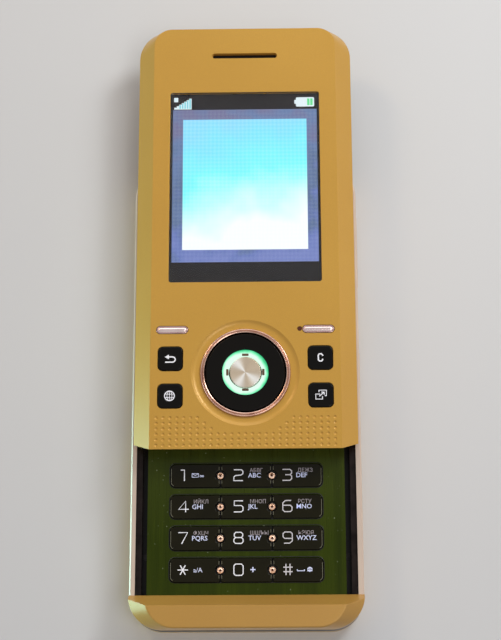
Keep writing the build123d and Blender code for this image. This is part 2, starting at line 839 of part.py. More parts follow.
with BuildPart() as keypad_mat:
    mat_low_y = row_ys[0] - mat_margin
    mat_high_y = row_ys[-1] + mat_margin
    mat_width = 2 * (channel_inner_x - mat_side_gap)
    extrude(
        outline(mat_width, mat_low_y, mat_high_y, mat_corner, mat_z), amount=mat_thickness
    )
keypad_mat.part.label = "keypad_mat"
export_step(keypad_mat.part, "parts/keypad_mat.step")

# ---------------------------------------------------------------- base: inside
board_low_y = base_end_y + board_margin
board_high_y = base_top_y - board_top_margin
with BuildPart() as main_board:
    extrude(
        outline(board_width, board_low_y, board_high_y, board_corner, board_z),
        amount=board_thickness,
    )
    with BuildSketch(Plane.XY.offset(board_top_z)) as domes:
        with Locations([(x, y) for x in column_xs for y in row_ys]):
            RegularPolygon(dome_radius, dome_sides)
    extrude(domes.sketch, amount=dome_height)
    # Two shield cans under the slide plate, either side of the flex
    for low, high in (
        (keypad_plate_high_y + can_gap, flex_low_y - can_gap),
        (flex_low_y + can_gap, board_high_y - can_gap),
    ):
        extrude(
            outline(board_width - 2 * can_margin, low, high, can_corner, board_top_z),
            amount=can_height,
        )
    # Battery contacts on the underside
    box_between(
        (contact_x - contact_block[0] / 2, contact_x + contact_block[0] / 2),
        (contact_y - contact_block[1] / 2, contact_y + contact_block[1] / 2),
        (board_z - contact_block[2], board_z),
    )
    nub_y = contact_y - contact_block[1] / 2 - contact_nub[1] / 2
    with Locations((contact_x, nub_y, board_z - contact_block[2] / 2)):
        with GridLocations(contact_pitch, 1, contact_count, 1):
            Box(*contact_nub)
main_board.part.label = "main_board"
export_step(main_board.part, "parts/main_board.step")

with BuildPart() as battery:
    battery_plan = (
        battery_width,
        battery_y - battery_length / 2,
        battery_y + battery_length / 2,
        battery_corner,
    )
    extrude(outline(*battery_plan, battery_z), amount=battery_thickness)
    battery_ends = battery.edges().group_by(Axis.Z)
    chamfer(battery_ends[0] + battery_ends[-1], battery_bevel)
battery.part.label = "battery"
export_step(battery.part, "parts/battery.step")

with BuildPart() as sim_holder:
    with BuildSketch(Plane.XY.offset(sim_z)) as sim_sketch:
        with Locations((0, sim_y)):
            RectangleRounded(sim_width, sim_length, sim_corner)
            Rectangle(
                sim_width - 2 * sim_frame[0], sim_length - 2 * sim_frame[1], mode=Mode.SUBTRACT
            )
    extrude(sim_sketch.sketch, amount=sim_thickness)
    card_z = sim_z + sim_thickness / 2
    extrude(
        outline(
            sim_width - 2 * sim_card_margin,
            sim_y - sim_length / 2 + sim_card_margin,
            sim_y + sim_length / 2 - sim_card_margin,
            sim_corner,
            card_z,
        ),
        amount=sim_thickness / 2,
    )
sim_holder.part.label = "sim_holder"
export_step(sim_holder.part, "parts/sim_holder.step")

with BuildPart() as camera_module:
    camera_height = board_z - battery_cover_thickness - camera_board_gap
    with Locations((0, camera_y, battery_cover_thickness)):
        Box(
            camera_size,
            camera_size,
            camera_height,
            align=(Align.CENTER, Align.CENTER, Align.MIN),
        )
    fillet(camera_module.edges().filter_by(Axis.Z), camera_corner)
    lens_drop = battery_cover_thickness - camera_glass_thickness - glass_sink - glass_gap
    with Locations((0, camera_y, battery_cover_thickness)):
        Cylinder(
            camera_barrel - glass_gap,
            lens_drop,
            align=(Align.CENTER, Align.CENTER, Align.MAX),
        )
    with Locations((0, camera_y, battery_cover_thickness - lens_drop)):
        Cone(
            *lens_cone,
            align=(Align.CENTER, Align.CENTER, Align.MIN),
            mode=Mode.SUBTRACT,
        )
camera_module.part.label = "camera_module"
export_step(camera_module.part, "parts/camera_module.step")

with BuildPart() as camera_window:
    with Locations((0, camera_y, glass_sink)):
        Cylinder(
            camera_glass_radius,
            camera_glass_thickness,
            align=(Align.CENTER, Align.CENTER, Align.MIN),
        )
    chamfer(camera_window.edges().group_by(Axis.Z)[0], camera_glass_bevel)
camera_window.part.label = "camera_window"
export_step(camera_window.part, "parts/camera_window.step")

with BuildPart() as loudspeaker:
    with Locations((beside_camera_x, speaker_y, battery_cover_thickness)):
        Cylinder(
            speaker_radius,
            speaker_height,
            align=(Align.CENTER, Align.CENTER, Align.MIN),
        )
        Cylinder(speaker_radius - speaker_rim, 2 * speaker_dish, mode=Mode.SUBTRACT)
    chamfer(loudspeaker.edges().group_by(Axis.Z)[-1], speaker_bevel)
loudspeaker.part.label = "loudspeaker"
export_step(loudspeaker.part, "parts/loudspeaker.step")

motor_y = base_top_y - motor_inset
motor_z = battery_cover_thickness + motor_flat
motor_plane = Plane(origin=(0, motor_y, motor_z), x_dir=(0, 1, 0), z_dir=(1, 0, 0))
motor_start_x = -beside_camera_x - (motor_length + shaft_length) / 2
motor_end_x = motor_start_x + motor_length
with BuildPart() as vibration_motor:
    with BuildSketch(motor_plane.offset(motor_start_x)) as can_section:
        Circle(motor_radius)
        Rectangle(2 * motor_radius, 2 * motor_flat, mode=Mode.INTERSECT)
    extrude(can_section.sketch, amount=motor_length)
    with BuildSketch(motor_plane.offset(motor_end_x)) as shaft_section:
        Circle(shaft_radius)
    extrude(shaft_section.sketch, amount=shaft_length)
vibration_motor.part.label = "vibration_motor"
export_step(vibration_motor.part, "parts/vibration_motor.step")

with BuildPart() as vibration_weight:
    with BuildSketch(motor_plane.offset(motor_end_x + weight_gap)) as weight_section:
        Circle(weight_radius)
        with Locations((0, -weight_radius - shaft_radius)):
            Rectangle(2 * weight_radius, 2 * weight_radius, mode=Mode.SUBTRACT)
        Circle(shaft_radius + weight_hub)
        Circle(shaft_radius + shaft_fit, mode=Mode.SUBTRACT)
    extrude(weight_section.sketch, amount=weight_length)
vibration_weight.part.label = "vibration_weight"
export_step(vibration_weight.part, "parts/vibration_weight.step")

antenna_width = board_width - 2 * antenna_margin
antenna_y = board_low_y + antenna_depth / 2
chin_ceiling_z = face_z - chin_skin - chin_fall * chin_length
antenna_height = chin_ceiling_z - antenna_gap - board_top_z
antenna_pitch = antenna_width / antenna_cells
with BuildPart() as antenna_module:
    with Locations((0, antenna_y, board_top_z + antenna_height / 2)):
        Box(antenna_width, antenna_depth, antenna_height)
        with GridLocations(antenna_pitch, 1, antenna_cells, 1):
            Box(
                antenna_pitch - antenna_rib,
                2 * antenna_depth,
                antenna_height - antenna_rib,
                mode=Mode.SUBTRACT,
            )
antenna_module.part.label = "antenna_module"
export_step(antenna_module.part, "parts/antenna_module.step")

with BuildPart() as microphone:
    with Locations((mic_x, base_end_y + mic_inset, board_top_z)):
        Box(*mic_size, align=(Align.CENTER, Align.CENTER, Align.MIN))
    fillet(microphone.edges().filter_by(Axis.Z), mic_corner)
microphone.part.label = "microphone"
export_step(microphone.part, "parts/microphone.step")

with BuildPart() as system_connector:
    box_between(
        (-inner_x, -inner_x + connector_depth),
        (connector_y - connector_length / 2, connector_y + connector_length / 2),
        (housing_floor_z, housing_floor_z + connector_height),
    )
    box_between(
        (-inner_x, -inner_x + port_depth),
        (connector_y - port_length / 2 + port_step, connector_y + port_length / 2 - port_step),
        (connector_z - port_height / 2, connector_z + port_height / 2),
        Mode.SUBTRACT,
    )
    box_between(
        (-inner_x + blade_back, -inner_x + port_depth),
        (connector_y - port_length / 2 + blade_inset, connector_y + port_length / 2 - blade_inset),
        (connector_z - port_height / 2, connector_z - port_height / 2 + blade_height),
    )
system_connector.part.label = "system_connector"
export_step(system_connector.part, "parts/system_connector.step")

with BuildPart() as side_key_switches:
    switch_spots = (
        (right_face, rocker_y - rocker_length / 3),
        (right_face, rocker_y + rocker_length / 3),
        (right_face, camera_key_y),
        (top_face, 0),
    )
    for face, along in switch_spots:
        with BuildSketch(face.offset(-switch_back)) as switch_sketch:
            with Locations((along, 0)):
                Rectangle(switch_length, side_key_height)
        extrude(switch_sketch.sketch, amount=switch_thickness)
side_key_switches.part.label = "side_key_switches"
export_step(side_key_switches.part, "parts/side_key_switches.step")


def side_key(face, along, length):
    """Side key cap with an inner flange, on the outer face that it stands out of."""
    with BuildPart() as key:
        with BuildSketch(face.offset(-side_key_depth)) as cap:
            with Locations((along, 0)):
                RectangleRounded(length, side_key_height, side_key_corner)
        extrude(cap.sketch, amount=side_key_depth + side_key_proud)
        outward = Axis(face.origin, face.z_dir)
        chamfer(key.faces().sort_by(outward)[-1].edges(), side_key_bevel)
        with BuildSketch(face.offset(-flange_back)) as flange:
            with Locations((along, 0)):
                Rectangle(length + 2 * side_key_flange_step, side_key_height)
        extrude(flange.sketch, amount=side_key_flange)
    return key


for name, (face, along, length) in side_keys.items():
    edge_key = side_key(face, along, length)
    edge_key.part.label = name
    export_step(edge_key.part, f"parts/{name}.step")


def countersunk_screw(x, y, head_z, tip_z):
    """Screw in the open part, with its flat head at head_z and its tip at tip_z."""
    with Locations((x, y, head_z)):
        Cylinder(
            screw_head_radius,
            screw_head,
            align=(Align.CENTER, Align.CENTER, Align.MIN),
        )
        Cylinder(
            screw_radius,
            tip_z - head_z,
            align=(Align.CENTER, Align.CENTER, Align.MIN),
        )


with BuildPart() as housing_screws:
    for x, y in housing_screw_places:
        countersunk_screw(x, y, battery_cover_thickness + screw_gap, band_z + channel_floor)
housing_screws.part.label = "housing_screws"
export_step(housing_screws.part, "parts/housing_screws.step")

# ---------------------------------------------------------------- slider: shells
slider_ends = (slider_edge_y - cut_margin, slider_top_y)
slider_corners = (corner_radius, face_corner)
slider_plan = (slider_width, *slider_ends, slider_lean, slider_corners, slider_z)
with BuildPart() as slider_outer:
    add(bevelled_block(*slider_plan))
    split(bisect_by=end_plane(slider_edge_y), keep=Keep.TOP)
with BuildPart() as slider_hollow:
    add(bevelled_block(*slider_plan, slider_wall, slider_skin))
    split(bisect_by=end_plane(slider_edge_y).offset(slider_wall), keep=Keep.TOP)

back_cover_top_z = slider_z + back_cover_thickness
slider_board_top_z = back_cover_top_z + slider_board_thickness
key_mat_z = slider_board_top_z + dome_height
cap_top_z = face_z + cap_proud
cap_z = cap_top_z - cap_height
nub_height = cap_z - key_air - key_mat_z - key_mat_sheet
under_face_z = face_z - slider_skin
nav_y = slider_edge_y + nav_rise
square_key_ys = [slider_edge_y + square_key_rise + square_key_pitch * row for row in range(2)]
soft_key_y = square_key_ys[1] + soft_key_pitch
sensor_place = (sensor_x, soft_key_y + sensor_step)
window_low_y = soft_key_y + window_rise
window_high_y = slider_top_y - window_top_inset
ear_y = slider_top_y - ear_slot_inset
top_screw = (slider_width / 2 - top_screw_inset[0], slider_top_y - top_screw_inset[1])
low_screw = (slider_width / 2 - low_screw_inset[0], window_low_y - low_screw_inset[1])
slider_screws_at = [(side * x, y) for side in (-1, 1) for x, y in (top_screw, low_screw)]

with BuildPart() as slider_front_cover:
    add(slider_outer.part)
    add(slider_hollow.part, mode=Mode.SUBTRACT)
    with BuildSketch(Plane.XY.offset(back_cover_top_z)) as slider_bosses:
        with Locations(slider_screws_at):
            Rectangle(slider_boss_side, slider_boss_side)
            Circle(screw_radius + screw_gap / 2, mode=Mode.SUBTRACT)
    extrude(slider_bosses.sketch, amount=under_face_z - back_cover_top_z)
    # Display opening with a ledge for the window
    window_seat_z = face_z - window_thickness
    extrude(
        outline(
            window_width + 2 * window_gap,
            window_low_y - window_gap,
            window_high_y + window_gap,
            window_corner + window_gap,
            window_seat_z,
        ),
        amount=window_thickness,
        mode=Mode.SUBTRACT,
    )
    extrude(
        outline(
            window_width - 2 * window_ledge,
            window_low_y + window_ledge,
            window_high_y - window_ledge,
            window_corner,
            under_face_z,
        ),
        amount=slider_skin,
        mode=Mode.SUBTRACT,
    )
    # Ear slot, key openings and sensor hole
    with BuildSketch(Plane.XY.offset(under_face_z)) as openings:
        with Locations((0, ear_y)):
            SlotOverall(ear_slot_length, ear_slot_width)
        with Locations((-soft_key_x, soft_key_y), (soft_key_x, soft_key_y)):
            SlotOverall(soft_key_length + 2 * cap_gap, soft_key_width + 2 * cap_gap)
        with Locations(
            [(side * square_key_x, y) for side in (-1, 1) for y in square_key_ys]
        ):
            RectangleRounded(
                square_key + 2 * cap_gap,
                square_key + 2 * cap_gap,
                square_key_corner + cap_gap,
            )
        with Locations(sensor_place):
            Circle(sensor_radius + nav_fit)
        with Locations((0, nav_y)):
            Circle(trim_inner + trim_ledge)
    extrude(openings.sketch, amount=slider_skin, mode=Mode.SUBTRACT)
    # Seat of the trim ring, and the hollow ring round it
    with BuildSketch(Plane.XY.offset(cap_top_z - nav_fit - trim_thickness)) as trim_seat:
        with Locations((0, nav_y)):
            Circle(trim_outer + nav_fit)
    extrude(trim_seat.sketch, amount=slider_skin, mode=Mode.SUBTRACT)
    with BuildSketch(across(nav_y)) as dish:
        with BuildLine():
            Polyline(
                (trim_outer, face_z - dish_depth),
                (trim_outer, face_z + dish_depth),
                (dish_radius, face_z + dish_depth),
                (dish_radius, face_z),
            )
            SagittaArc(
                (dish_radius, face_z), (trim_outer, face_z - dish_depth), -dish_depth / 4
            )
        make_face()
    revolve(dish.sketch, axis=Axis((0, nav_y, 0), (0, 0, 1)), mode=Mode.SUBTRACT)
slider_front_cover.part.label = "slider_front_cover"
export_step(slider_front_cover.part, "parts/slider_front_cover.step")

with BuildPart() as slider_back_cover:
    add(bevelled_block(*slider_plan, slider_wall + shell_fit, slider_skin))
    split(bisect_by=end_plane(slider_edge_y).offset(slider_wall + shell_fit), keep=Keep.TOP)
    split(bisect_by=Plane.XY.offset(back_cover_top_z), keep=Keep.BOTTOM)
    with BuildSketch(Plane.XY.offset(slider_z)) as back_holes:
        with Locations(slider_screws_at):
            Circle(screw_radius + screw_gap)
        with Locations((flex_x, flex_high_y)):
            SlotOverall(flex_width + 2 * flex_slot, flex_slot)
    extrude(back_holes.sketch, amount=back_cover_thickness, mode=Mode.SUBTRACT)
    with BuildSketch(Plane.XY.offset(slider_z)) as back_heads:
        with Locations(slider_screws_at):
            Circle(screw_head_radius + screw_gap)
    extrude(back_heads.sketch, amount=screw_head + screw_gap, mode=Mode.SUBTRACT)
    with Locations((*spring_slider_post, slider_z)):
        Cylinder(
            post_pin_radius,
            slider_z - wire_z + wire_radius,
            align=(Align.CENTER, Align.CENTER, Align.MAX),
        )
slider_back_cover.part.label = "slider_back_cover"
export_step(slider_back_cover.part, "parts/slider_back_cover.step")

with BuildPart() as slider_screws:
    for x, y in slider_screws_at:
        countersunk_screw(x, y, slider_z + screw_gap, under_face_z - screw_tip_gap)
slider_screws.part.label = "slider_screws"
export_step(slider_screws.part, "parts/slider_screws.step")

# The runner hooks under the rail's lip and slides between the channel's two ends
stem_outer_x = lip_x - runner_side_gap
stem_x = stem_outer_x - runner_stem
foot_x = inner_x - rail_sheet - runner_side_gap
foot_top_z = lip_z - runner_gap
foot_z = channel_floor_z + rail_sheet + runner_side_gap
runner_high_y = channel_high_y - 3 * runner_gap
runner_low_y = channel_low_y + travel + 3 * runner_gap
with BuildPart() as slide_runners:
    with BuildSketch(across(runner_high_y)) as runner_section:
        with BuildLine():
            Polyline(
                (stem_x, foot_z),
                (foot_x, foot_z),
                (foot_x, foot_top_z),
                (stem_outer_x, foot_top_z),
                (stem_outer_x, slider_z - runner_top_sheet),
                (stem_x + runner_top_width, slider_z - runner_top_sheet),
                (stem_x + runner_top_width, slider_z),
                (stem_x, slider_z),
                close=True,
            )
        make_face()
        mirror(about=Plane.YZ)
    extrude(runner_section.sketch, amount=runner_high_y - runner_low_y)
slide_runners.part.label = "slide_runners"
export_step(slide_runners.part, "parts/slide_runners.step")

# ---------------------------------------------------------------- slider: display and board
slider_end_inset = end_slope * (face_z - back_cover_top_z)
slider_end_inset += slider_wall * hypot(1, end_slope) + slider_board_margin
dome_places = (
    [(0, nav_y)]
    + [(side * square_key_x, y) for side in (-1, 1) for y in square_key_ys]
    + [(side * soft_key_x, soft_key_y) for side in (-1, 1)]
)
with BuildPart() as slider_board:
    with BuildSketch(Plane.XY.offset(back_cover_top_z)) as slider_board_plan:
        low = slider_edge_y + slider_end_inset
        high = slider_top_y - slider_wall - 2 * slider_board_margin
        with Locations((0, (low + high) / 2)):
            RectangleRounded(
                2 * slider_hollow_x - 4 * slider_board_margin,
                high - low,
                corner_radius - slider_wall,
            )
        with Locations(slider_screws_at):
            notch = slider_boss_side + 2 * shell_fit
            Rectangle(notch, notch, mode=Mode.SUBTRACT)
    extrude(slider_board_plan.sketch, amount=slider_board_thickness)
    with BuildSketch(Plane.XY.offset(slider_board_top_z)) as slider_domes:
        with Locations(dome_places):
            RegularPolygon(slider_dome_radius, dome_sides)
    extrude(slider_domes.sketch, amount=dome_height)
slider_board.part.label = "slider_board"
export_step(slider_board.part, "parts/slider_board.step")

with BuildPart() as slider_key_mat:
    with BuildSketch(Plane.XY.offset(key_mat_z)) as mat_plan:
        mat_low = slider_edge_y + key_mat_low
        mat_high = soft_key_y + key_mat_reach
        with Locations((0, (mat_low + mat_high) / 2)):
            RectangleRounded(
                face_width - 2 * key_mat_margin, mat_high - mat_low, key_mat_corner
            )
        with Locations(sensor_place):
            Circle(2 * sensor_radius, mode=Mode.SUBTRACT)
    extrude(mat_plan.sketch, amount=key_mat_sheet)
    with BuildSketch(Plane.XY.offset(key_mat_z + key_mat_sheet)) as nubs:
        with Locations(dome_places):
            RegularPolygon(nub_radius, dome_sides)
        with Locations((0, nav_y)):
            with PolarLocations(nav_radius - nub_inset, 4):
                RegularPolygon(nub_radius, dome_sides)
    extrude(nubs.sketch, amount=nub_height)
slider_key_mat.part.label = "slider_key_mat"
export_step(slider_key_mat.part, "parts/slider_key_mat.step")

window_y = (window_low_y + window_high_y) / 2
window_length = window_high_y - window_low_y
lcd_height = under_face_z - lcd_gap - slider_board_top_z
with BuildPart() as lcd_module:
    with Locations((0, window_y, slider_board_top_z)):
        Box(
            window_width + 2 * lcd_side,
            window_length + 2 * lcd_end,
            lcd_height,
            align=(Align.CENTER, Align.CENTER, Align.MIN),
        )
    fillet(lcd_module.edges().filter_by(Axis.Z), lcd_corner)
    with Locations((0, window_y, slider_board_top_z + lcd_height)):
        Box(
            window_width + 2 * lcd_glass_step,
            window_length + 2 * lcd_glass_step,
            2 * lcd_glass_depth,
            mode=Mode.SUBTRACT,
        )
lcd_module.part.label = "lcd_module"
export_step(lcd_module.part, "parts/lcd_module.step")

with BuildPart() as display_window:
    extrude(
        outline(window_width, window_low_y, window_high_y, window_corner, window_seat_z),
        amount=window_thickness,
    )
    chamfer(display_window.faces().sort_by(Axis.Z)[-1].edges(), window_bevel)
display_window.part.label = "display_window"
export_step(display_window.part, "parts/display_window.step")

with BuildPart() as earpiece:
    with BuildSketch(Plane.XY.offset(slider_board_top_z)) as ear_plan:
        with Locations((0, ear_y)):
            SlotOverall(earpiece_length, earpiece_width)
    extrude(ear_plan.sketch, amount=lcd_height)
earpiece.part.label = "earpiece"
export_step(earpiece.part, "parts/earpiece.step")

with BuildPart() as light_sensor:
    with Locations((*sensor_place, slider_board_top_z)):
        Cylinder(
            sensor_radius,
            face_z - sensor_sink - slider_board_top_z,
            align=(Align.CENTER, Align.CENTER, Align.MIN),
        )
light_sensor.part.label = "light_sensor"
export_step(light_sensor.part, "parts/light_sensor.step")

# ---------------------------------------------------------------- slider: navigation keys
trim_z = cap_top_z - nav_fit - trim_thickness


def ring(floor_z, inner, outer, height):
    """Flat ring round the navigation centre, in the open part."""
    with BuildSketch(Plane.XY.offset(floor_z)) as ring_plan:
        with Locations((0, nav_y)):
            Circle(outer)
            Circle(inner, mode=Mode.SUBTRACT)
    extrude(ring_plan.sketch, amount=height)


with BuildPart() as nav_trim_ring:
    ring(trim_z, trim_inner, trim_outer, trim_thickness)
    chamfer(nav_trim_ring.edges().group_by(Axis.Z)[-1], trim_bevel)
nav_trim_ring.part.label = "nav_trim_ring"
export_step(nav_trim_ring.part, "parts/nav_trim_ring.step")

with BuildPart() as nav_key_carrier:
    ring(cap_z, light_inner + carrier_step, nav_radius - carrier_margin, carrier_thickness)
nav_key_carrier.part.label = "nav_key_carrier"
export_step(nav_key_carrier.part, "parts/nav_key_carrier.step")

nav_z = cap_top_z - nav_thickness
with BuildPart() as nav_key:
    ring(nav_z, light_outer + nav_fit, nav_radius, nav_thickness)
    chamfer(nav_key.edges().group_by(Axis.Z)[-1].sort_by(Axis.X)[0], nav_bevel)
nav_key.part.label = "nav_key"
export_step(nav_key.part, "parts/nav_key.step")

with BuildPart() as nav_light_ring:
    ring(cap_top_z - light_sink - light_thickness, light_inner, light_outer, light_thickness)
nav_light_ring.part.label = "nav_light_ring"
export_step(nav_light_ring.part, "parts/nav_light_ring.step")

with BuildPart() as select_key:
    with Locations((0, nav_y, cap_z)):
        Cylinder(
            select_radius,
            cap_top_z - cap_z,
            align=(Align.CENTER, Align.CENTER, Align.MIN),
        )
    chamfer(select_key.edges().group_by(Axis.Z)[-1], select_bevel)
select_key.part.label = "select_key"
export_step(select_key.part, "parts/select_key.step")


def soft_key(x):
    """Pill-shaped key under the display, with a flange under the face."""
    with BuildPart() as key:
        with BuildSketch(Plane.XY.offset(cap_z)) as pill:
            with Locations((x, soft_key_y)):
                SlotOverall(soft_key_length, soft_key_width)
        extrude(pill.sketch, amount=cap_top_z - cap_z)
        chamfer(key.faces().sort_by(Axis.Z)[-1].edges(), cap_bevel)
        with BuildSketch(Plane.XY.offset(cap_z)) as pill_flange:
            with Locations((x, soft_key_y)):
                SlotOverall(
                    soft_key_length - 2 * cap_flange_step,
                    soft_key_width + 2 * cap_flange_step,
                )
        extrude(pill_flange.sketch, amount=cap_flange)
    return key


for name, x in (("soft_key_left", -soft_key_x), ("soft_key_right", soft_key_x)):
    pill_key = soft_key(x)
    pill_key.part.label = name
    export_step(pill_key.part, f"parts/{name}.step")


def square_cap(x, y):
    """Square key beside the navigation ring, with a flange under the face."""
    with BuildPart() as key:
        with BuildSketch(Plane.XY.offset(cap_z)) as square:
            with Locations((x, y)):
                RectangleRounded(square_key, square_key, square_key_corner)
        extrude(square.sketch, amount=cap_top_z - cap_z)
        chamfer(key.faces().sort_by(Axis.Z)[-1].edges(), cap_bevel)
        with BuildSketch(Plane.XY.offset(cap_z)) as square_flange:
            with Locations((x, y)):
                RectangleRounded(
                    square_key + 2 * cap_flange_step,
                    square_key + 2 * cap_flange_step,
                    square_key_corner,
                )
        extrude(square_flange.sketch, amount=cap_flange)
    return key


square_keys = {
    "back_key": (-square_key_x, square_key_ys[1]),
    "browser_key": (-square_key_x, square_key_ys[0]),
    "clear_key": (square_key_x, square_key_ys[1]),
    "shortcut_key": (square_key_x, square_key_ys[0]),
}
for name, (x, y) in square_keys.items():
    small_key = square_cap(x, y)
    small_key.part.label = name
    export_step(small_key.part, f"parts/{name}.step")

# ---------------------------------------------------------------- between the halves
spring_posts = ((spring_base_post, -coil_radius), (spring_slider_post, coil_radius))
with BuildPart() as assist_spring:
    with BuildSketch(Plane.XY.offset(wire_z - wire_radius)) as spring_sketch:
        with Locations((spring_x, spring_y)):
            Circle(coil_radius + wire_radius)
        for post, side in spring_posts:
            with BuildLine() as leg_line:
                Line((spring_x, spring_y + side), post)
            trace(leg_line.wire(), 2 * wire_radius)
            with Locations(post):
                Circle(eye_radius)
        with Locations((spring_x, spring_y)):
            Circle(coil_radius - wire_radius, mode=Mode.SUBTRACT)
        with Locations(*[post for post, side in spring_posts]):
            Circle(eye_bore, mode=Mode.SUBTRACT)
    extrude(spring_sketch.sketch, amount=2 * wire_radius)
assist_spring.part.label = "assist_spring"
export_step(assist_spring.part, "parts/assist_spring.step")

flex_low_z = slide_plate_top_z + flex_air
flex_high_z = slider_z - flex_air - flex_sheet
flex_bend_radius = (flex_high_z + flex_sheet - flex_low_z) / 2
with BuildPart() as slide_flex:
    lengthwise = Plane(
        origin=(flex_x - flex_width / 2, 0, 0), x_dir=(0, 1, 0), z_dir=(1, 0, 0)
    )
    with BuildSketch(lengthwise) as ribbon:
        with BuildLine():
            middle_z = flex_low_z + flex_bend_radius
            bend_low = (flex_bend_y, flex_low_z)
            bend_high = (flex_bend_y, flex_high_z + flex_sheet)
            inner_low = (flex_bend_y, flex_low_z + flex_sheet)
            inner_high = (flex_bend_y, flex_high_z)
            low_end = flex_low_y - flex_sheet
            high_end = flex_high_y - flex_sheet
            Polyline((flex_low_y, board_top_z), (flex_low_y, flex_low_z), bend_low)
            ThreePointArc(bend_low, (flex_bend_y + flex_bend_radius, middle_z), bend_high)
            Polyline(
                bend_high,
                (flex_high_y, flex_high_z + flex_sheet),
                (flex_high_y, back_cover_top_z),
                (high_end, back_cover_top_z),
                (high_end, flex_high_z),
                inner_high,
            )
            inner_reach = flex_bend_y + flex_bend_radius - flex_sheet
            ThreePointArc(inner_high, (inner_reach, middle_z), inner_low)
            Polyline(
                inner_low,
                (low_end, flex_low_z + flex_sheet),
                (low_end, board_top_z),
                (flex_low_y, board_top_z),
            )
        make_face()
    extrude(ribbon.sketch, amount=flex_width)
slide_flex.part.label = "slide_flex"
export_step(slide_flex.part, "parts/slide_flex.step")
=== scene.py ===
"""Looks of the slider phone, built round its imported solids.

Lengths inside the classes are in millimetres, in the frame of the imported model, and are
turned to metres when a piece is placed. The phone lies on its back: X is across it, +Y
points from the chin to the ear slot and +Z points out of the display.
"""

import json
import logging
import math
from collections.abc import Iterable, Sequence
from dataclasses import dataclass
from enum import Enum

import bmesh
import bpy
from mathutils import Matrix, Vector

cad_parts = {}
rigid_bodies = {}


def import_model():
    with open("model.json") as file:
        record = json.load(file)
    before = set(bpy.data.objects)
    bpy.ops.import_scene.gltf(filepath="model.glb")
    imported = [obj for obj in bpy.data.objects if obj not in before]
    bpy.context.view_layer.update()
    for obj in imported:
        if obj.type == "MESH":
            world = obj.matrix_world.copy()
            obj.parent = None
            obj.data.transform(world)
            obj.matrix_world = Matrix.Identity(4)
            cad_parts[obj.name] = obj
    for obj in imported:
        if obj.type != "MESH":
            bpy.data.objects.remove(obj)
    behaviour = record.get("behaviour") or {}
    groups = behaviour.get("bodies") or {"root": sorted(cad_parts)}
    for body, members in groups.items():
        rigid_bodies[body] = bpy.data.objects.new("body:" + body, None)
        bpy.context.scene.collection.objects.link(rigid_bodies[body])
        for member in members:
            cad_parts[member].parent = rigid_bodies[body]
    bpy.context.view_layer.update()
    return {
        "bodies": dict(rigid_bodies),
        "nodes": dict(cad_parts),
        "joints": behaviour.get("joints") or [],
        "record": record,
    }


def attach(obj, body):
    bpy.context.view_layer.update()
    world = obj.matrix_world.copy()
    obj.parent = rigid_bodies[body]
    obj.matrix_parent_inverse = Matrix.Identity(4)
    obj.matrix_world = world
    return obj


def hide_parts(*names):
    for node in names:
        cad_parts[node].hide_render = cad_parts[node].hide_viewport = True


log = logging.getLogger("slider_phone")

MM = 0.001
Colour = tuple[float, float, float, float]
Pair = tuple[float, float]
Point = tuple[float, float, float]
Box = tuple[float, float, float, float]
Shape = bmesh.types.BMesh
Socket = bpy.types.NodeSocket

BACKDROP: Colour = (0.68, 0.68, 0.69, 1.0)
NAV_CENTRE: Pair = (0.0, -13.2)


def tint(red: int, green: int, blue: int) -> Colour:
    """Turns a display colour into the linear colour that shaders take.

    Args:
        red: Red from 0 to 255.
        green: Green from 0 to 255.
        blue: Blue from 0 to 255.

    Returns:
        Linear red, green, blue and a full alpha.
    """

    def linear(value: int) -> float:
        """Linear share of one channel."""
        share = value / 255
        return share / 12.92 if share <= 0.04045 else ((share + 0.055) / 1.055) ** 2.4

    return (linear(red), linear(green), linear(blue), 1.0)


class Grain(Enum):
    """Way the fine lines of a surface run, as the stretch of a noise."""

    EVEN = (1.0, 1.0, 1.0)
    ALONG_Y = (1.0, 0.02, 1.0)


class NodeKit:
    """Node tree of a material or world, with short ways to add and join nodes."""

    def __init__(self, owner: bpy.types.Material | bpy.types.World) -> None:
        """Opens the tree.

        Args:
            owner: Material or world that it belongs to.
        """
        owner.use_nodes = True
        self.nodes = owner.node_tree.nodes
        self.links = owner.node_tree.links

    def add(self, kind: str, inputs: dict | None = None, **settings: object) -> bpy.types.Node:
        """Adds a node.

        Args:
            kind: Node type without its ShaderNode prefix.
            inputs: Socket name or number to a value or to an output socket.
            settings: Attributes of the node.

        Returns:
            The new node.
        """
        node = self.nodes.new(f"ShaderNode{kind}")
        for key, value in settings.items():
            setattr(node, key, value)
        for key, value in (inputs or {}).items():
            self.feed(node.inputs[key], value)
        return node

    def feed(self, socket: Socket, value: object) -> None:
        """Links or sets one socket.

        Args:
            socket: Input that is fed.
            value: Output to link, or a plain value.
        """
        if isinstance(value, Socket):
            self.links.new(value, socket)
        else:
            socket.default_value = value

    def maths(self, kind: str, first: object, second: object = 0.0) -> Socket:
        """Result of one Math node."""
        return self.add("Math", {0: first, 1: second}, operation=kind).outputs[0]

    def cross(self, share: object, first: Socket, second: Socket) -> Socket:
        """Mix of two shaders."""
        return self.add("MixShader", {0: share, 1: first, 2: second}).outputs[0]

    def seen(self) -> Socket:
        """Finds the rays that show the backdrop.

        Returns:
            One for rays from the camera, off gloss and through glass, and else zero.
        """
        path = self.add("LightPath").outputs
        near = self.maths("MAXIMUM", path["Is Camera Ray"], path["Is Glossy Ray"])
        return self.maths("MAXIMUM", near, path["Is Transmission Ray"])


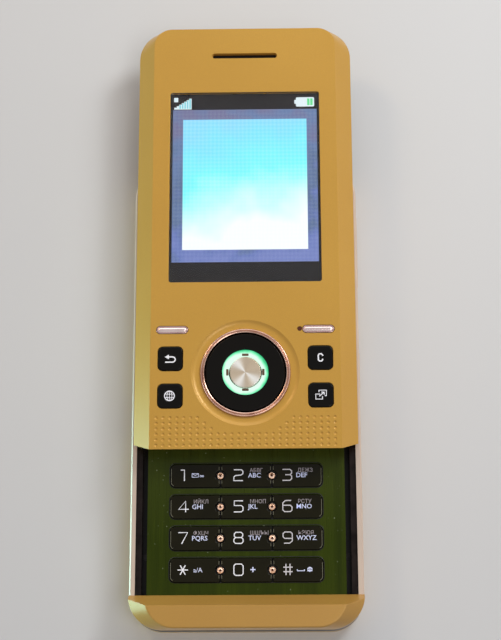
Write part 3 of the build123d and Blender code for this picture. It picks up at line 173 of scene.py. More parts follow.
class Tree(NodeKit):
    """Node tree of one material, with its shader and the patterns that finishes share."""

    def __init__(self, name: str) -> None:
        """Starts a material with its shader and object coordinates.

        Args:
            name: Name of the material.
        """
        self.material = bpy.data.materials.new(name)
        super().__init__(self.material)
        self.shader = self.nodes["Principled BSDF"]
        self.place = self.add("TexCoord").outputs["Object"]

    def surface(self, **values: object) -> bpy.types.Material:
        """Feeds sockets of the main shader.

        Args:
            values: Socket names, with _ for their spaces, to values or sockets.

        Returns:
            The finished material.
        """
        for key, value in values.items():
            self.feed(self.shader.inputs[key.replace("_", " ")], value)
        return self.material

    def noise(
        self, size: float, detail: float = 3.0, grain: Grain = Grain.EVEN, roughness: float = 0.5
    ) -> Socket:
        """Noise with features of about the given size.

        Args:
            size: Feature size in millimetres.
            detail: Octaves.
            grain: Direction that the pattern is drawn out along.
            roughness: Share of the fine octaves.

        Returns:
            The noise's value output.
        """
        mapped = self.add("Mapping", {"Vector": self.place, "Scale": grain.value}).outputs[0]
        sockets = {"Vector": mapped, "Scale": 1 / MM / size, "Detail": detail}
        return self.add("TexNoise", sockets | {"Roughness": roughness}).outputs[0]

    def between(
        self, value: object, low: float, high: float, start: float = 0.0, end: float = 1.0
    ) -> Socket:
        """Maps a value from start and end to low and high, clamped."""
        return self.add("MapRange", {"Value": value, 1: start, 2: end, 3: low, 4: high}).outputs[0]

    def total(self, first: object, *others: object) -> Socket:
        """Adds several values.

        Args:
            first: First value or socket.
            others: Values or sockets that are added to it.

        Returns:
            Their sum.
        """
        for other in others:
            first = self.maths("ADD", first, other)
        return first

    def blend(self, share: object, first: object, second: object, kind: str = "MIX") -> Socket:
        """Mixes two colours.

        Args:
            share: Share of the second colour.
            first: First colour or socket.
            second: Second colour or socket.
            kind: Blend type.

        Returns:
            The colour output.
        """
        sockets = {0: share, 6: first, 7: second}
        return self.add("Mix", sockets, data_type="RGBA", blend_type=kind).outputs[2]

    def ramp(self, value: object, stops: Sequence[tuple[float, Colour]]) -> Socket:
        """Colour ramp over a value.

        Args:
            value: Socket that drives the ramp.
            stops: Position and colour of each stop, in order.

        Returns:
            The colour output.
        """
        node = self.add("ValToRGB", {"Fac": value})
        elements = node.color_ramp.elements
        for _ in stops[2:]:
            elements.new(0.5)
        for element, (position, colour) in zip(elements, stops):
            element.position, element.color = position, colour
        return node.outputs[0]

    def bump(
        self, height: object, depth: float, strength: float = 1.0, normal: object = None
    ) -> Socket:
        """Bump from a height.

        Args:
            height: Height socket, from 0 to 1.
            depth: Depth of the relief in millimetres.
            strength: Strength of the bump.
            normal: Normal socket to build on.

        Returns:
            The bumped normal.
        """
        sockets = {"Height": height, "Distance": depth * MM, "Strength": strength}
        if normal is not None:
            sockets["Normal"] = normal
        return self.add("Bump", sockets).outputs[0]

    def edge(self, radius: float) -> Socket:
        """Normal that rounds sharp edges by a radius in millimetres."""
        return self.add("Bevel", {"Radius": radius * MM}, samples=4).outputs[0]

    def split(self) -> Sequence[Socket]:
        """X, Y and Z of the object coordinates."""
        return self.add("SeparateXYZ", {0: self.place}).outputs

    def vector(self, kind: str, *values: object) -> Sequence[Socket]:
        """Outputs of one Vector Math node."""
        return self.add("VectorMath", dict(enumerate(values)), operation=kind).outputs

    def outward(self, centre: Pair) -> Socket:
        """Level vector away from an upright axis through a point in millimetres."""
        axis = (centre[0] * MM, centre[1] * MM, 0.0)
        return self.vector("MULTIPLY", self.vector("SUBTRACT", self.place, axis)[0], (1, 1, 0))[0]

    def radius(self, centre: Pair) -> Socket:
        """Distance in metres from an upright axis through a point in millimetres."""
        return self.vector("LENGTH", self.outward(centre))["Value"]

    def drift(self, box: Box, along: float, down: float, patch: float, uneven: float) -> Socket:
        """Share that grows to the right and downwards over a box, with soft patches.

        Args:
            box: Low X, low Y, high X and high Y in millimetres.
            along: How much it grows from the left to the right.
            down: How much it grows from the top to the bottom.
            patch: Size of the patches in millimetres.
            uneven: How much the patches add or take at most.

        Returns:
            The share.
        """
        x, y = self.split()[:2]
        return self.total(
            self.between(x, 0.0, along, box[0] * MM, box[2] * MM),
            self.between(y, down, 0.0, box[1] * MM, box[3] * MM),
            self.between(self.noise(patch, 2.0), -uneven, uneven, 0.3, 0.7),
        )


# ---------------------------------------------------------------- finishes
@dataclass(frozen=True)
class Finish:
    """Common face of the finishes: a slot's name and a way to build its material."""

    slot: str

    def build(self) -> bpy.types.Material:
        """Material of this finish."""
        raise NotImplementedError


@dataclass(frozen=True)
class MetallicPaint(Finish):
    """Satin metallic paint: fine flakes, a slight ripple and soft edges."""

    colour: Colour
    shade: Colour
    roughness: float = 0.36
    flake: Colour = tint(255, 236, 186)
    flake_size: float = 0.09
    edge_radius: float = 0.12

    def build(self) -> bpy.types.Material:
        """Material of the paint."""
        tree = Tree(self.slot)
        clouds = tree.between(tree.noise(30.0, 2.0), 0.0, 1.0, 0.35, 0.65)
        flakes = tree.noise(self.flake_size, 2.0, roughness=0.7)
        body = tree.blend(clouds, self.colour, self.shade)
        gleam = tree.between(flakes, 0.0, 0.35, 0.45, 0.75)
        rough = tree.between(tree.noise(1.3, 4.0), self.roughness - 0.03, self.roughness + 0.03)
        wave = tree.bump(tree.noise(0.7, 2.0), 0.004, 0.6, tree.edge(self.edge_radius))
        return tree.surface(
            Base_Color=tree.blend(gleam, body, self.flake, "SOFT_LIGHT"), Metallic=0.14,
            Roughness=rough, Coat_Weight=0.45, Coat_Roughness=0.26, Coat_IOR=1.5,
            Specular_IOR_Level=0.15, Normal=tree.bump(flakes, 0.002, 0.35, wave),
        )


@dataclass(frozen=True)
class Metal(Finish):
    """Bare or plated metal with fine lines and light wear."""

    colour: Colour
    shade: Colour
    roughness: float = 0.22
    grain: Grain = Grain.EVEN
    line_size: float = 0.12
    line_depth: float = 0.002
    edge_radius: float = 0.05

    def build(self) -> bpy.types.Material:
        """Material of the metal."""
        tree = Tree(self.slot)
        lines = tree.noise(self.line_size, 3.0, self.grain)
        stain = tree.between(tree.noise(2.2, 3.0), 0.0, 1.0, 0.4, 0.7)
        return tree.surface(
            Base_Color=tree.blend(stain, self.colour, self.shade), Metallic=1.0,
            Roughness=tree.between(lines, self.roughness * 0.75, self.roughness * 1.3, 0.3, 0.7),
            Normal=tree.bump(lines, self.line_depth, 0.5, tree.edge(self.edge_radius)),
        )


@dataclass(frozen=True)
class Plastic(Finish):
    """Moulded plastic, rubber or film with a fine grain and faint smears."""

    colour: Colour
    shade: Colour
    roughness: float = 0.45
    grain_size: float = 0.18
    grain_depth: float = 0.004
    coat: float = 0.0
    level: float = 0.5
    edge_radius: float = 0.06

    def build(self) -> bpy.types.Material:
        """Material of the plastic."""
        tree = Tree(self.slot)
        grain = tree.noise(self.grain_size, 3.0)
        smear = tree.noise(5.0, 4.0, roughness=0.6)
        stain = tree.between(smear, 0.0, 1.0, 0.35, 0.7)
        return tree.surface(
            Base_Color=tree.blend(stain, self.colour, self.shade),
            Roughness=tree.between(smear, self.roughness * 0.85, self.roughness * 1.2, 0.3, 0.7),
            Normal=tree.bump(grain, self.grain_depth, 0.6, tree.edge(self.edge_radius)),
            Coat_Weight=self.coat, Coat_Roughness=0.06, Specular_IOR_Level=self.level,
        )


@dataclass(frozen=True)
class OlivePlate(Finish):
    """Dark olive lacquer over lengthwise hairlines, with some dust, and painted light towards its
    open end that lifts the slider's shadow there.
    """

    colour: Colour = tint(50, 62, 2)
    shade: Colour = tint(40, 51, 1)
    line: Colour = tint(78, 90, 10)
    dust: Colour = tint(150, 160, 130)
    painted_light: Colour = tint(120, 128, 70)
    painted_light_span: Pair = (-46.0, -28.0)

    def build(self) -> bpy.types.Material:
        """Material of the plate."""
        tree = Tree(self.slot)
        hair = tree.noise(0.16, 4.0, Grain.ALONG_Y, 0.7)
        wide = tree.between(tree.noise(2.6, 2.0, Grain.ALONG_Y), 0.0, 1.0, 0.35, 0.65)
        base = tree.blend(wide, self.shade, self.colour)
        lined = tree.blend(tree.between(hair, 0.0, 0.55, 0.58, 0.8), base, self.line)
        speck = tree.between(tree.noise(0.5, 0.0), 0.0, 0.7, 0.83, 0.85)
        # Painted light: the colour is blended towards a paler olive near the slider's edge, where
        # the slider casts its shadow.
        start, end = self.painted_light_span
        painted_light_share = tree.between(tree.split()[1], 0.0, 0.1, start * MM, end * MM)
        return tree.surface(
            Base_Color=tree.blend(painted_light_share, tree.blend(speck, lined, self.dust), self.painted_light),
            Metallic=0.35, Roughness=tree.between(hair, 0.24, 0.4, 0.3, 0.7),
            Normal=tree.bump(hair, 0.003, 0.5, tree.edge(0.06)), Specular_IOR_Level=0.15,
        )


@dataclass(frozen=True)
class FrameBand(Finish):
    """Silver band whose inside, down in the channels, is coloured near-black with streaks of
    painted highlight.
    """

    band: Colour = tint(222, 202, 186)
    band_shade: Colour = tint(208, 188, 174)
    channel: Colour = tint(12, 9, 9)
    painted_channel_streak: Colour = tint(46, 32, 27)
    inner_side: float = 22.36

    def build(self) -> bpy.types.Material:
        """Material of the frame."""
        tree = Tree(self.slot)
        across = tree.maths("ABSOLUTE", tree.split()[0])
        inside = tree.between(across, 1.0, 0.0, (self.inner_side - 0.04) * MM, self.inner_side * MM)
        # Painted highlight: pale streaks along the channels are blended into their near-black
        # colour.
        streak = tree.between(tree.noise(0.3, 3.0, Grain.ALONG_Y, 0.6), 0.0, 1.0, 0.55, 0.75)
        dark = tree.blend(streak, self.channel, self.painted_channel_streak)
        pale = tree.blend(tree.noise(6.0, 2.0), self.band, self.band_shade)
        satin = tree.noise(0.1, 2.0)
        rougher = tree.maths("MULTIPLY", inside, 0.1)
        return tree.surface(
            Base_Color=tree.blend(inside, pale, dark),
            Metallic=tree.between(inside, 0.25, 0.0),
            Roughness=tree.total(tree.between(satin, 0.26, 0.36), rougher),
            Specular_IOR_Level=0.2,
            Normal=tree.bump(satin, 0.002, 0.5, tree.edge(0.1)),
        )


@dataclass(frozen=True)
class SpunMetal(Finish):
    """Disc turned on a lathe: rings round its middle pull the highlights into rays, and pale rays
    of painted highlight are blended into its colour as well.
    """

    colour: Colour = tint(214, 196, 172)
    shade: Colour = tint(200, 182, 158)
    gleam: Colour = tint(255, 252, 246)
    rays: tuple[float, ...] = (133.0, 240.0, 322.0)
    narrow: float = 14.0

    def build(self) -> bpy.types.Material:
        """Material of the disc."""
        tree = Tree(self.slot)
        away = tree.outward(NAV_CENTRE)
        around = tree.vector("CROSS_PRODUCT", (0.0, 0.0, 1.0), away)[0]
        rings = tree.add(
            "TexNoise",
            {"W": tree.maths("MULTIPLY", tree.radius(NAV_CENTRE), 12000.0), "Detail": 2.0},
            noise_dimensions="1D",
        ).outputs[0]
        body = tree.blend(tree.between(rings, 0.0, 1.0, 0.3, 0.7), self.colour, self.shade)
        bearing = tree.vector("NORMALIZE", away)[0]
        # Painted highlight: a pale ray is blended into the colour along each of these bearings.
        for ray in self.rays:
            ahead = (math.cos(math.radians(ray)), math.sin(math.radians(ray)), 0.0)
            along = tree.maths("MAXIMUM", tree.vector("DOT_PRODUCT", bearing, ahead)["Value"])
            body = tree.blend(tree.maths("POWER", along, self.narrow), body, self.gleam)
        return tree.surface(
            Base_Color=body, Metallic=0.6, Roughness=0.22, Anisotropic=0.9,
            Tangent=tree.vector("NORMALIZE", around)[0],
            Normal=tree.bump(rings, 0.001, 0.4, tree.edge(0.08)),
        )


@dataclass(frozen=True)
class LightGuide(Finish):
    """Lit ring of milky plastic, whiter inside and greener towards its rim."""

    core: Colour = tint(226, 255, 238)
    middle: Colour = tint(122, 244, 184)
    rim: Colour = tint(20, 190, 120)
    unlit: Colour = tint(60, 96, 76)
    inner: float = 3.4
    outer: float = 4.7

    def build(self) -> bpy.types.Material:
        """Material of the ring."""
        tree = Tree(self.slot)
        share = tree.between(tree.radius(NAV_CENTRE), 0.0, 1.0, self.inner * MM, self.outer * MM)
        uneven = tree.between(tree.noise(2.4, 2.0), -0.15, 0.15, 0.3, 0.7)
        middle, reach = NAV_CENTRE[1] * MM, 2 * self.outer * MM
        slant = tree.total(*tree.split()[:2])
        lean = tree.between(slant, -0.4, 0.12, middle - reach, middle + reach)
        glow = tree.ramp(
            tree.total(share, uneven, lean),
            ((0.0, self.core), (0.35, self.core), (0.68, self.middle), (0.95, self.rim)),
        )
        return tree.surface(
            Base_Color=self.unlit, Roughness=0.3, Emission_Color=glow, Emission_Strength=0.95,
            Normal=tree.bump(tree.noise(0.4, 2.0), 0.004, 0.4),
        )


@dataclass(frozen=True)
class ClearPane(Finish):
    """Clear acrylic or glass with a faint smear on it."""

    colour: Colour = (1.0, 1.0, 1.0, 1.0)
    roughness: float = 0.02

    def build(self) -> bpy.types.Material:
        """Material of the pane."""
        tree = Tree(self.slot)
        smear = tree.noise(7.0, 4.0, roughness=0.65)
        return tree.surface(
            Base_Color=self.colour, Transmission_Weight=1.0, IOR=1.12,
            Roughness=tree.between(smear, self.roughness, self.roughness + 0.03, 0.4, 0.8),
            Normal=tree.bump(tree.noise(9.0, 1.0), 0.002, 0.3),
        )


@dataclass(frozen=True)
class Lit(Finish):
    """Mark that gives some light of its own, its colour drifting to the right and down."""

    first: Colour
    second: Colour
    strength: float = 1.0
    base: Colour = tint(12, 12, 14)
    box: Box = (-13.2, 14.0, 13.2, 43.4)

    def build(self) -> bpy.types.Material:
        """Material of the mark."""
        tree = Tree(self.slot)
        share = tree.between(tree.drift(self.box, 0.45, 0.55, 9.0, 0.12), 0.0, 1.0)
        return tree.surface(
            Base_Color=self.base, Roughness=0.3, Emission_Strength=self.strength,
            Emission_Color=tree.blend(share, self.first, self.second),
        )


@dataclass(frozen=True)
class ScreenGlow(Finish):
    """Lit part of the screen: a drift of colours from its top down, over a fine grid."""

    stops: tuple[tuple[float, Colour], ...]
    box: Box
    uneven: float = 0.05
    patch: float = 6.0
    grid: float = 0.0
    pitch: float = 0.85
    unlit: Colour = tint(10, 10, 12)
    grid_line: Colour = tint(236, 255, 255)

    def build(self) -> bpy.types.Material:
        """Material of the lit area."""
        tree = Tree(self.slot)
        share = tree.drift(self.box, 0.16, 0.84, self.patch, self.uneven)
        glow = tree.ramp(share, self.stops)
        for way in ("X", "Y"):
            sockets = {"Vector": tree.place, "Scale": 314 / self.pitch, "Distortion": 0.6}
            lines = tree.add("TexWave", sockets, bands_direction=way).outputs[1]
            glow = tree.blend(tree.maths("MULTIPLY", lines, self.grid), glow, self.grid_line)
        return tree.surface(
            Base_Color=self.unlit, Roughness=0.3, Emission_Color=glow, Emission_Strength=1.0,
        )


@dataclass(frozen=True)
class Floor(Finish):
    """Plain pale floor that is only there from above, and is backdrop where it is far."""

    colour: Colour = tint(222, 222, 224)
    shade: Colour = tint(216, 216, 219)
    near: float = 0.14
    far: float = 0.5

    def build(self) -> bpy.types.Material:
        """Material of the floor."""
        tree = Tree(self.slot)
        tone = tree.blend(tree.noise(160.0, 2.0), self.colour, self.shade)
        tree.surface(Base_Color=tone, Roughness=0.75)
        away = tree.between(tree.radius((0.0, 0.0)), 0.0, 1.0, self.near, self.far)
        backdrop = tree.add("Emission", {"Color": BACKDROP}).outputs[0]
        share = tree.maths("MULTIPLY", away, tree.seen())
        ground = tree.cross(share, tree.shader.outputs[0], backdrop)
        below = tree.maths(
            "MAXIMUM", tree.add("NewGeometry").outputs["Backfacing"],
            tree.add("LightPath").outputs["Is Shadow Ray"],
        )
        clear = tree.add("BsdfTransparent").outputs[0]
        tree.feed(
            tree.nodes["Material Output"].inputs["Surface"], tree.cross(below, ground, clear)
        )
        return tree.material


STEEL_SHADE = tint(140, 136, 134)

FINISHES: tuple[Finish, ...] = (
    MetallicPaint("gold_shell", tint(202, 154, 66), tint(198, 150, 63)),
    MetallicPaint("gold_chin", tint(193, 147, 73), tint(188, 142, 70)),
    MetallicPaint("gold_cover", tint(192, 152, 82), tint(186, 146, 76), 0.38),
    MetallicPaint("housing_gold", tint(188, 150, 84), tint(178, 140, 74), 0.4),
    FrameBand("silver_band"),
    OlivePlate("olive_plate"),
    Plastic("key_black", tint(27, 24, 4), tint(21, 18, 2), 0.14, 0.5, 0.0015, level=0.14),
    Metal("jewel_chrome", tint(255, 226, 204), tint(246, 206, 180), 0.24, line_depth=0.0002),
    Metal("trim_chrome", tint(214, 178, 160), tint(190, 148, 130), 0.16),
    Metal("soft_key_chrome", tint(226, 204, 200), tint(214, 190, 186), 0.2, line_depth=0.0004),
    Plastic("nav_black", tint(12, 8, 4), tint(9, 6, 3), 0.12, 0.6, 0.001, level=0.14),
    LightGuide("light_guide"),
    SpunMetal("spun_metal"),
    ClearPane("window_glass"),
    Plastic("lcd_frame", tint(16, 14, 14), tint(24, 21, 20), 0.4),
    Metal("slide_steel", tint(44, 38, 36), tint(30, 26, 25), 0.3, Grain.ALONG_Y, 0.16, 0.004),
    Plastic("inner_dark", tint(24, 21, 19), tint(16, 14, 13), 0.55, level=0.2),
    ClearPane("camera_glass", tint(60, 62, 70)),
    Plastic("board_green", tint(22, 74, 44), tint(16, 58, 34), 0.42, 0.5, 0.006),
    # Dark grey, so that the keypad mat seen in the gaps between the keys reads as painted shade.
    Plastic("silicone", tint(46, 45, 42), tint(36, 35, 33), 0.6),
    Plastic("battery_wrap", tint(52, 54, 60), tint(42, 44, 50), 0.36, 0.4, 0.002),
    Plastic("flex_film", tint(170, 104, 36), tint(150, 88, 28), 0.32, 0.6, 0.002),
    Metal("spring_steel", tint(168, 166, 166), STEEL_SHADE, 0.24),
    Metal("screw_steel", tint(44, 42, 42), tint(32, 30, 30), 0.36),
    Metal("weight_metal", tint(150, 146, 140), STEEL_SHADE, 0.34),
    Lit("print_white", tint(222, 222, 226), tint(206, 206, 214), 0.46, tint(214, 214, 220)),
    Lit("print_soft", tint(196, 190, 194), tint(184, 180, 186), 0.4, tint(190, 186, 190)),
    Lit("print_blue", tint(190, 196, 226), tint(170, 178, 216), 0.5, tint(196, 200, 220)),
    Lit("print_dim", tint(150, 138, 140), tint(130, 120, 130), 0.4, tint(150, 144, 146)),
    ScreenGlow(
        "screen_backdrop",
        ((0.0, tint(108, 108, 148)), (0.3, tint(94, 118, 164)), (0.55, tint(84, 106, 146)),
         (0.8, tint(98, 116, 182)), (1.0, tint(112, 126, 190))),
        (-15.4, 10.5, 15.4, 44.9), 0.25, 5.0, 0.03,
    ),
    ScreenGlow(
        "screen_panel",
        ((0.0, tint(140, 214, 255)), (0.2, tint(118, 230, 255)), (0.42, tint(112, 248, 252)),
         (0.62, tint(196, 255, 250)), (0.8, tint(250, 255, 255))),
        (-13.2, 13.3, 13.2, 42.6), 0.07, 8.0, 0.09,
    ),
    ScreenGlow(
        "screen_bar", ((0.0, tint(7, 0, 3)), (1.0, tint(4, 0, 1))), (-15.4, 6.5, 15.4, 48.5),
    ),
    Lit("icon_white", tint(226, 244, 250), tint(240, 250, 252), 0.95),
    Lit("icon_cyan", tint(120, 214, 226), tint(140, 226, 234), 0.95),
    Lit("icon_green", tint(90, 224, 140), tint(120, 236, 160), 0.95),
    Plastic("face_key_black", tint(10, 7, 4), tint(7, 5, 3), 0.12, 0.6, 0.001, level=0.14),
    # Black print round the window, and also the black lines of painted shadow round the key rows.
    Plastic("window_print_and_painted_gap_shadow", tint(14, 12, 12), tint(10, 9, 9), 0.3),
    # Pale lines of painted highlight along the key edges, with a faint glow.
    Lit("painted_key_glint", tint(120, 118, 98), tint(96, 94, 76), 0.3, tint(110, 108, 92)),
    # Brown of the light sensor, and also the dark discs of painted reflection on the keypad dots.
    Plastic("sensor_brown_and_painted_dot_reflection", tint(92, 44, 26), tint(70, 32, 20), 0.4, level=0.2),
    Plastic("lens_violet", tint(34, 24, 60), tint(20, 28, 56), 0.08, 0.6, 0.001, coat=1.0),
    Plastic("guide_mark", tint(96, 70, 44), tint(80, 56, 36), 0.5),
)


# ---------------------------------------------------------------- making shapes
def stand(name: str, data: bpy.types.ID) -> bpy.types.Object:
    """Adds an object to the scene, at the origin.

    Args:
        name: Name of the object.
        data: Its mesh, lamp or camera.

    Returns:
        The new object.
    """
    made = bpy.data.objects.new(name, data)
    bpy.context.scene.collection.objects.link(made)
    return made


def baked(mesh: Shape, name: str) -> bpy.types.Mesh:
    """Turns a bmesh into mesh data and frees it.

    Args:
        mesh: Finished shape.
        name: Name of the mesh data.

    Returns:
        The mesh data.
    """
    data = bpy.data.meshes.new(name)
    mesh.to_mesh(data)
    mesh.free()
    return data


def grow(mesh: Shape, factor: float) -> None:
    """Scales a whole shape about the origin."""
    bmesh.ops.scale(mesh, vec=(factor,) * 3, verts=mesh.verts)


def flatten(mesh: Shape) -> None:
    """Joins the triangles of each flat area into one face."""
    bmesh.ops.dissolve_limit(
        mesh, angle_limit=math.radians(0.3), verts=mesh.verts, edges=mesh.edges
    )


def plate(mesh: Shape, low: Point, high: Point, corner: float = 0.0, segments: int = 4) -> None:
    """Adds a block between two corners, with rounded upright edges.

    Args:
        mesh: Where it goes.
        low: Lowest corner.
        high: Highest corner.
        corner: Radius of the upright edges.
        segments: Steps of each rounded corner.
    """
    size = Vector(high) - Vector(low)
    middle = (Vector(high) + Vector(low)) / 2
    made = bmesh.ops.create_cube(mesh, size=1.0)["verts"]
    bmesh.ops.scale(mesh, vec=size, verts=made)
    bmesh.ops.translate(mesh, vec=middle, verts=made)
    if corner:
        upright = {
            edge for vert in made for edge in vert.link_edges
            if abs(edge.verts[0].co.z - edge.verts[1].co.z) > size.z / 2
        }
        bmesh.ops.bevel(
            mesh, geom=list(upright), offset=corner, affect="EDGES", segments=segments,
            profile=0.5, material=-1,
        )


def sheet(mesh: Shape, box: Box, floor: float, thick: float, corner: float = 0.0) -> None:
    """Adds a flat sheet over a box of low X, low Y, high X and high Y."""
    plate(mesh, (box[0], box[1], floor), (box[2], box[3], floor + thick), corner)


def turned(mesh: Shape, profile: Iterable[Pair], centre: Pair, steps: int) -> None:
    """Spins a closed profile round an upright axis.

    Args:
        mesh: Where it goes.
        profile: Radius and height of each corner, in order round the section.
        centre: X and Y of the axis.
        steps: Steps of the spin.
    """
    axis = Vector((*centre, 0.0))
    verts = [mesh.verts.new(axis + Vector((radius, 0.0, height))) for radius, height in profile]
    face = mesh.faces.new(verts)
    geometry = list(face.edges) + verts
    mesh.faces.remove(face)
    bmesh.ops.spin(
        mesh, geom=geometry, cent=axis, axis=(0, 0, 1), angle=2 * math.pi, steps=steps,
        use_merge=True,
    )
    bmesh.ops.remove_doubles(mesh, verts=mesh.verts, dist=0.0005)
    bmesh.ops.recalc_face_normals(mesh, faces=mesh.faces)


def crown(mesh: Shape, drop: float, steps: Sequence[Pair]) -> None:
    """Gives every top face of a shape a domed crown that stays as high as it was.

    Args:
        mesh: Shape with flat tops, as single faces.
        drop: How far the rim of each top sinks.
        steps: Inset and rise of each step towards the middle.
    """
    high = max(vert.co.z for vert in mesh.verts)
    tops = [
        face for face in mesh.faces
        if face.normal.z > 0.99 and abs(face.calc_center_median().z - high) < 0.01
    ]
    for top in tops:
        bmesh.ops.translate(mesh, vec=(0, 0, -drop), verts=top.verts)
        for inset, rise in steps:
            bmesh.ops.inset_region(
                mesh, faces=[top], thickness=inset, depth=0.0, use_even_offset=True
            )
            bmesh.ops.translate(mesh, vec=(0, 0, rise), verts=top.verts)


# ---------------------------------------------------------------- ink
class Printer:
    """Lays strokes and letters on a flat top as thin printed ink, and also the lines of painted
    highlight and painted shadow on the keypad.
    """

    def __init__(self, height: float, thickness: float = 0.008) -> None:
        """Starts an empty print.

        Args:
            height: Height of the surface that is printed on.
            thickness: Thickness of the ink.
        """
        self.height = height
        self.thickness = thickness
        self.mesh = bmesh.new()

    def take(self, curve: bpy.types.Curve, flat: float, place: Matrix) -> None:
        """Adds a curve's mesh to the print and removes the curve.

        Args:
            curve: Text or stroke data.
            flat: Scale of its thickness.
            place: Where it goes on the surface.
        """
        holder = bpy.data.objects.new("ink", curve)
        data = bpy.data.meshes.new_from_object(holder)
        data.transform(Matrix.Diagonal((1.0, 1.0, flat, 1.0)))
        data.transform(Matrix.Translation((0.0, 0.0, self.height + self.thickness / 2)) @ place)
        self.mesh.from_mesh(data)
        bpy.data.objects.remove(holder)
        bpy.data.meshes.remove(data)
        bpy.data.curves.remove(curve)

    def stroke(self, points: Sequence[Pair], width: float, closed: bool = False) -> None:
        """Draws one line of ink through points.

        Args:
            points: X and Y of the points.
            width: Width of the line.
            closed: Whether it ends where it starts.
        """
        curve = bpy.data.curves.new("ink", "CURVE")
        curve.dimensions = "3D"
        curve.bevel_depth = width / 2
        curve.bevel_resolution = 1
        curve.use_fill_caps = True
        spline = curve.splines.new("POLY")
        spline.points.add(len(points) - 1)
        for point, (x, y) in zip(spline.points, points):
            point.co = (x, y, 0.0, 1.0)
        spline.use_cyclic_u = closed
        self.take(curve, self.thickness / width, Matrix.Identity(4))


@dataclass(frozen=True)
class Line:
    """Stroke of ink through points, written as x,y pairs."""

    path: str
    width: float
    scale: Pair = (1.0, 1.0)
    shift: Pair = (0.0, 0.0)

    def draw(self, ink: Printer, x: float, y: float) -> None:
        """Draws it.

        Args:
            ink: Print that takes it.
            x: X of its zero.
            y: Y of its zero.
        """
        left, low = x + self.shift[0], y + self.shift[1]
        pairs = ([float(part) for part in pair.split(",")] for pair in self.path.split())
        points = [(left + a * self.scale[0], low + b * self.scale[1]) for a, b in pairs]
        ink.stroke(points, self.width)


@dataclass(frozen=True)
class Arc:
    """Arc or ellipse of ink, with its angles in degrees."""

    centre: Pair
    radii: Pair
    width: float
    start: float = 0.0
    sweep: float = 360.0
    steps: int = 24

    def draw(self, ink: Printer, x: float, y: float) -> None:
        """Draws it.

        Args:
            ink: Print that takes it.
            x: X of its zero.
            y: Y of its zero.
        """
        closed = self.sweep >= 360
        angles = [
            math.radians(self.start + self.sweep * step / self.steps)
            for step in range(self.steps if closed else self.steps + 1)
        ]
        x, y = x + self.centre[0], y + self.centre[1]
        wide, high = self.radii
        points = [(x + wide * math.cos(a), y + high * math.sin(a)) for a in angles]
        ink.stroke(points, self.width, closed)


@dataclass(frozen=True)
class Words:
    """Letters of ink from their left end, centred on a line."""

    text: str
    size: float
    weight: float = 0.0
    stretch: float = 1.0
    shift: Pair = (0.0, 0.0)

    def draw(self, ink: Printer, x: float, y: float) -> None:
        """Draws them.

        Args:
            ink: Print that takes it.
            x: X of its zero.
            y: Y of its zero.
        """
        curve = bpy.data.curves.new("ink", "FONT")
        curve.body, curve.size, curve.offset = self.text, self.size, self.weight
        curve.extrude = ink.thickness / 2
        curve.resolution_u = 2
        left, low = x + self.shift[0], y + self.shift[1] - self.size * 0.365
        place = Matrix.Translation((left, low, 0.0))
        ink.take(curve, 1.0, place @ Matrix.Diagonal((self.stretch, 1.0, 1.0, 1.0)))


Mark = Line | Arc | Words


# ---------------------------------------------------------------- making pieces
class Bench:
    """Turns finished meshes into pieces that ride on the phone's bodies."""

    def __init__(self, frame: dict) -> None:
        """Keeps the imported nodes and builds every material.
        """
        self.nodes: dict[str, bpy.types.Object] = frame["nodes"]
        self.finishes = {finish.slot: finish.build() for finish in FINISHES}

    def coat(self, name: str, finish: str) -> None:
        """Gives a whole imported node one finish."""
        for place in self.nodes[name].material_slots:
            place.material = self.finishes[finish]

    def dress_nodes(self) -> None:
        """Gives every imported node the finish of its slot."""
        for name, node in self.nodes.items():
            slot = node.material_slots[0].material.name.split(".")[0]
            self.coat(name, slot)
            log.info("dressed %s in %s", name, slot)

    def soften(self, name: str, width: float, segments: int = 3) -> None:
        """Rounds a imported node's edges with live modifiers.

        Args:
            name: Name of the node.
            width: Width of the rounding in millimetres.
            segments: Steps of the rounding.
        """
        node = self.nodes[name]
        weld = node.modifiers.new("join", "WELD")
        weld.merge_threshold = 0.0005 * MM
        flat = node.modifiers.new("flat", "DECIMATE")
        flat.decimate_type, flat.angle_limit = "DISSOLVE", math.radians(0.5)
        edge = node.modifiers.new("edge", "BEVEL")
        edge.width, edge.segments = width * MM, segments
        edge.limit_method, edge.angle_limit = "ANGLE", math.radians(40)
        edge.harden_normals = True

    def merged(self, node: str) -> Shape:
        """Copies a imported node's mesh and joins it up.

        Args:
            node: Name of the node.

        Returns:
            The copy, in millimetres.
        """
        mesh = bmesh.new()
        mesh.from_mesh(self.nodes[node].data)
        grow(mesh, 1 / MM)
        bmesh.ops.remove_doubles(mesh, verts=mesh.verts, dist=0.0005)
        return mesh

    def place(
        self, mesh: Shape, name: str, body: str, finish: str, slot: str | None = None,
        replaces: str | None = None, sharp: float = 28.0,
    ) -> None:
        """Makes a piece from a bmesh in millimetres and frees the bmesh.

        Args:
            mesh: Finished shape, at its place in the phone.
            name: Name of the piece.
            body: Body that it rides on.
            finish: Name of its material.
            slot: Slot of the record that the finish belongs to; not used.
            replaces: Node that it stands for.
            sharp: Edges over this angle stay sharp, in degrees.
        """
        grow(mesh, MM)
        for face in mesh.faces:
            face.smooth = True
        data = baked(mesh, name)
        if "custom_normal" in data.attributes:
            data.attributes.remove(data.attributes["custom_normal"])
        data.set_sharp_from_angle(angle=math.radians(sharp))
        data.materials.clear()
        data.materials.append(self.finishes[finish])
        piece = stand(name, data)
        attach(piece, body)
        if replaces:
            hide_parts(replaces)
        log.info("placed %s on %s, %d faces", name, body, len(data.polygons))

    def ink(self, marks: Iterable[Mark], spot: Point, name: str, body: str, finish: str) -> None:
        """Prints marks on the flat top of a key.

        Args:
            marks: Lines, arcs and words.
            spot: Their zero, at the height of the top.
            name: Name of the piece.
            body: Key that it rides on.
            finish: Name of the ink's material.
        """
        printer = Printer(spot[2])
        for mark in marks:
            mark.draw(printer, spot[0], spot[1])
        self.place(printer.mesh, name, body, finish, "key_black")


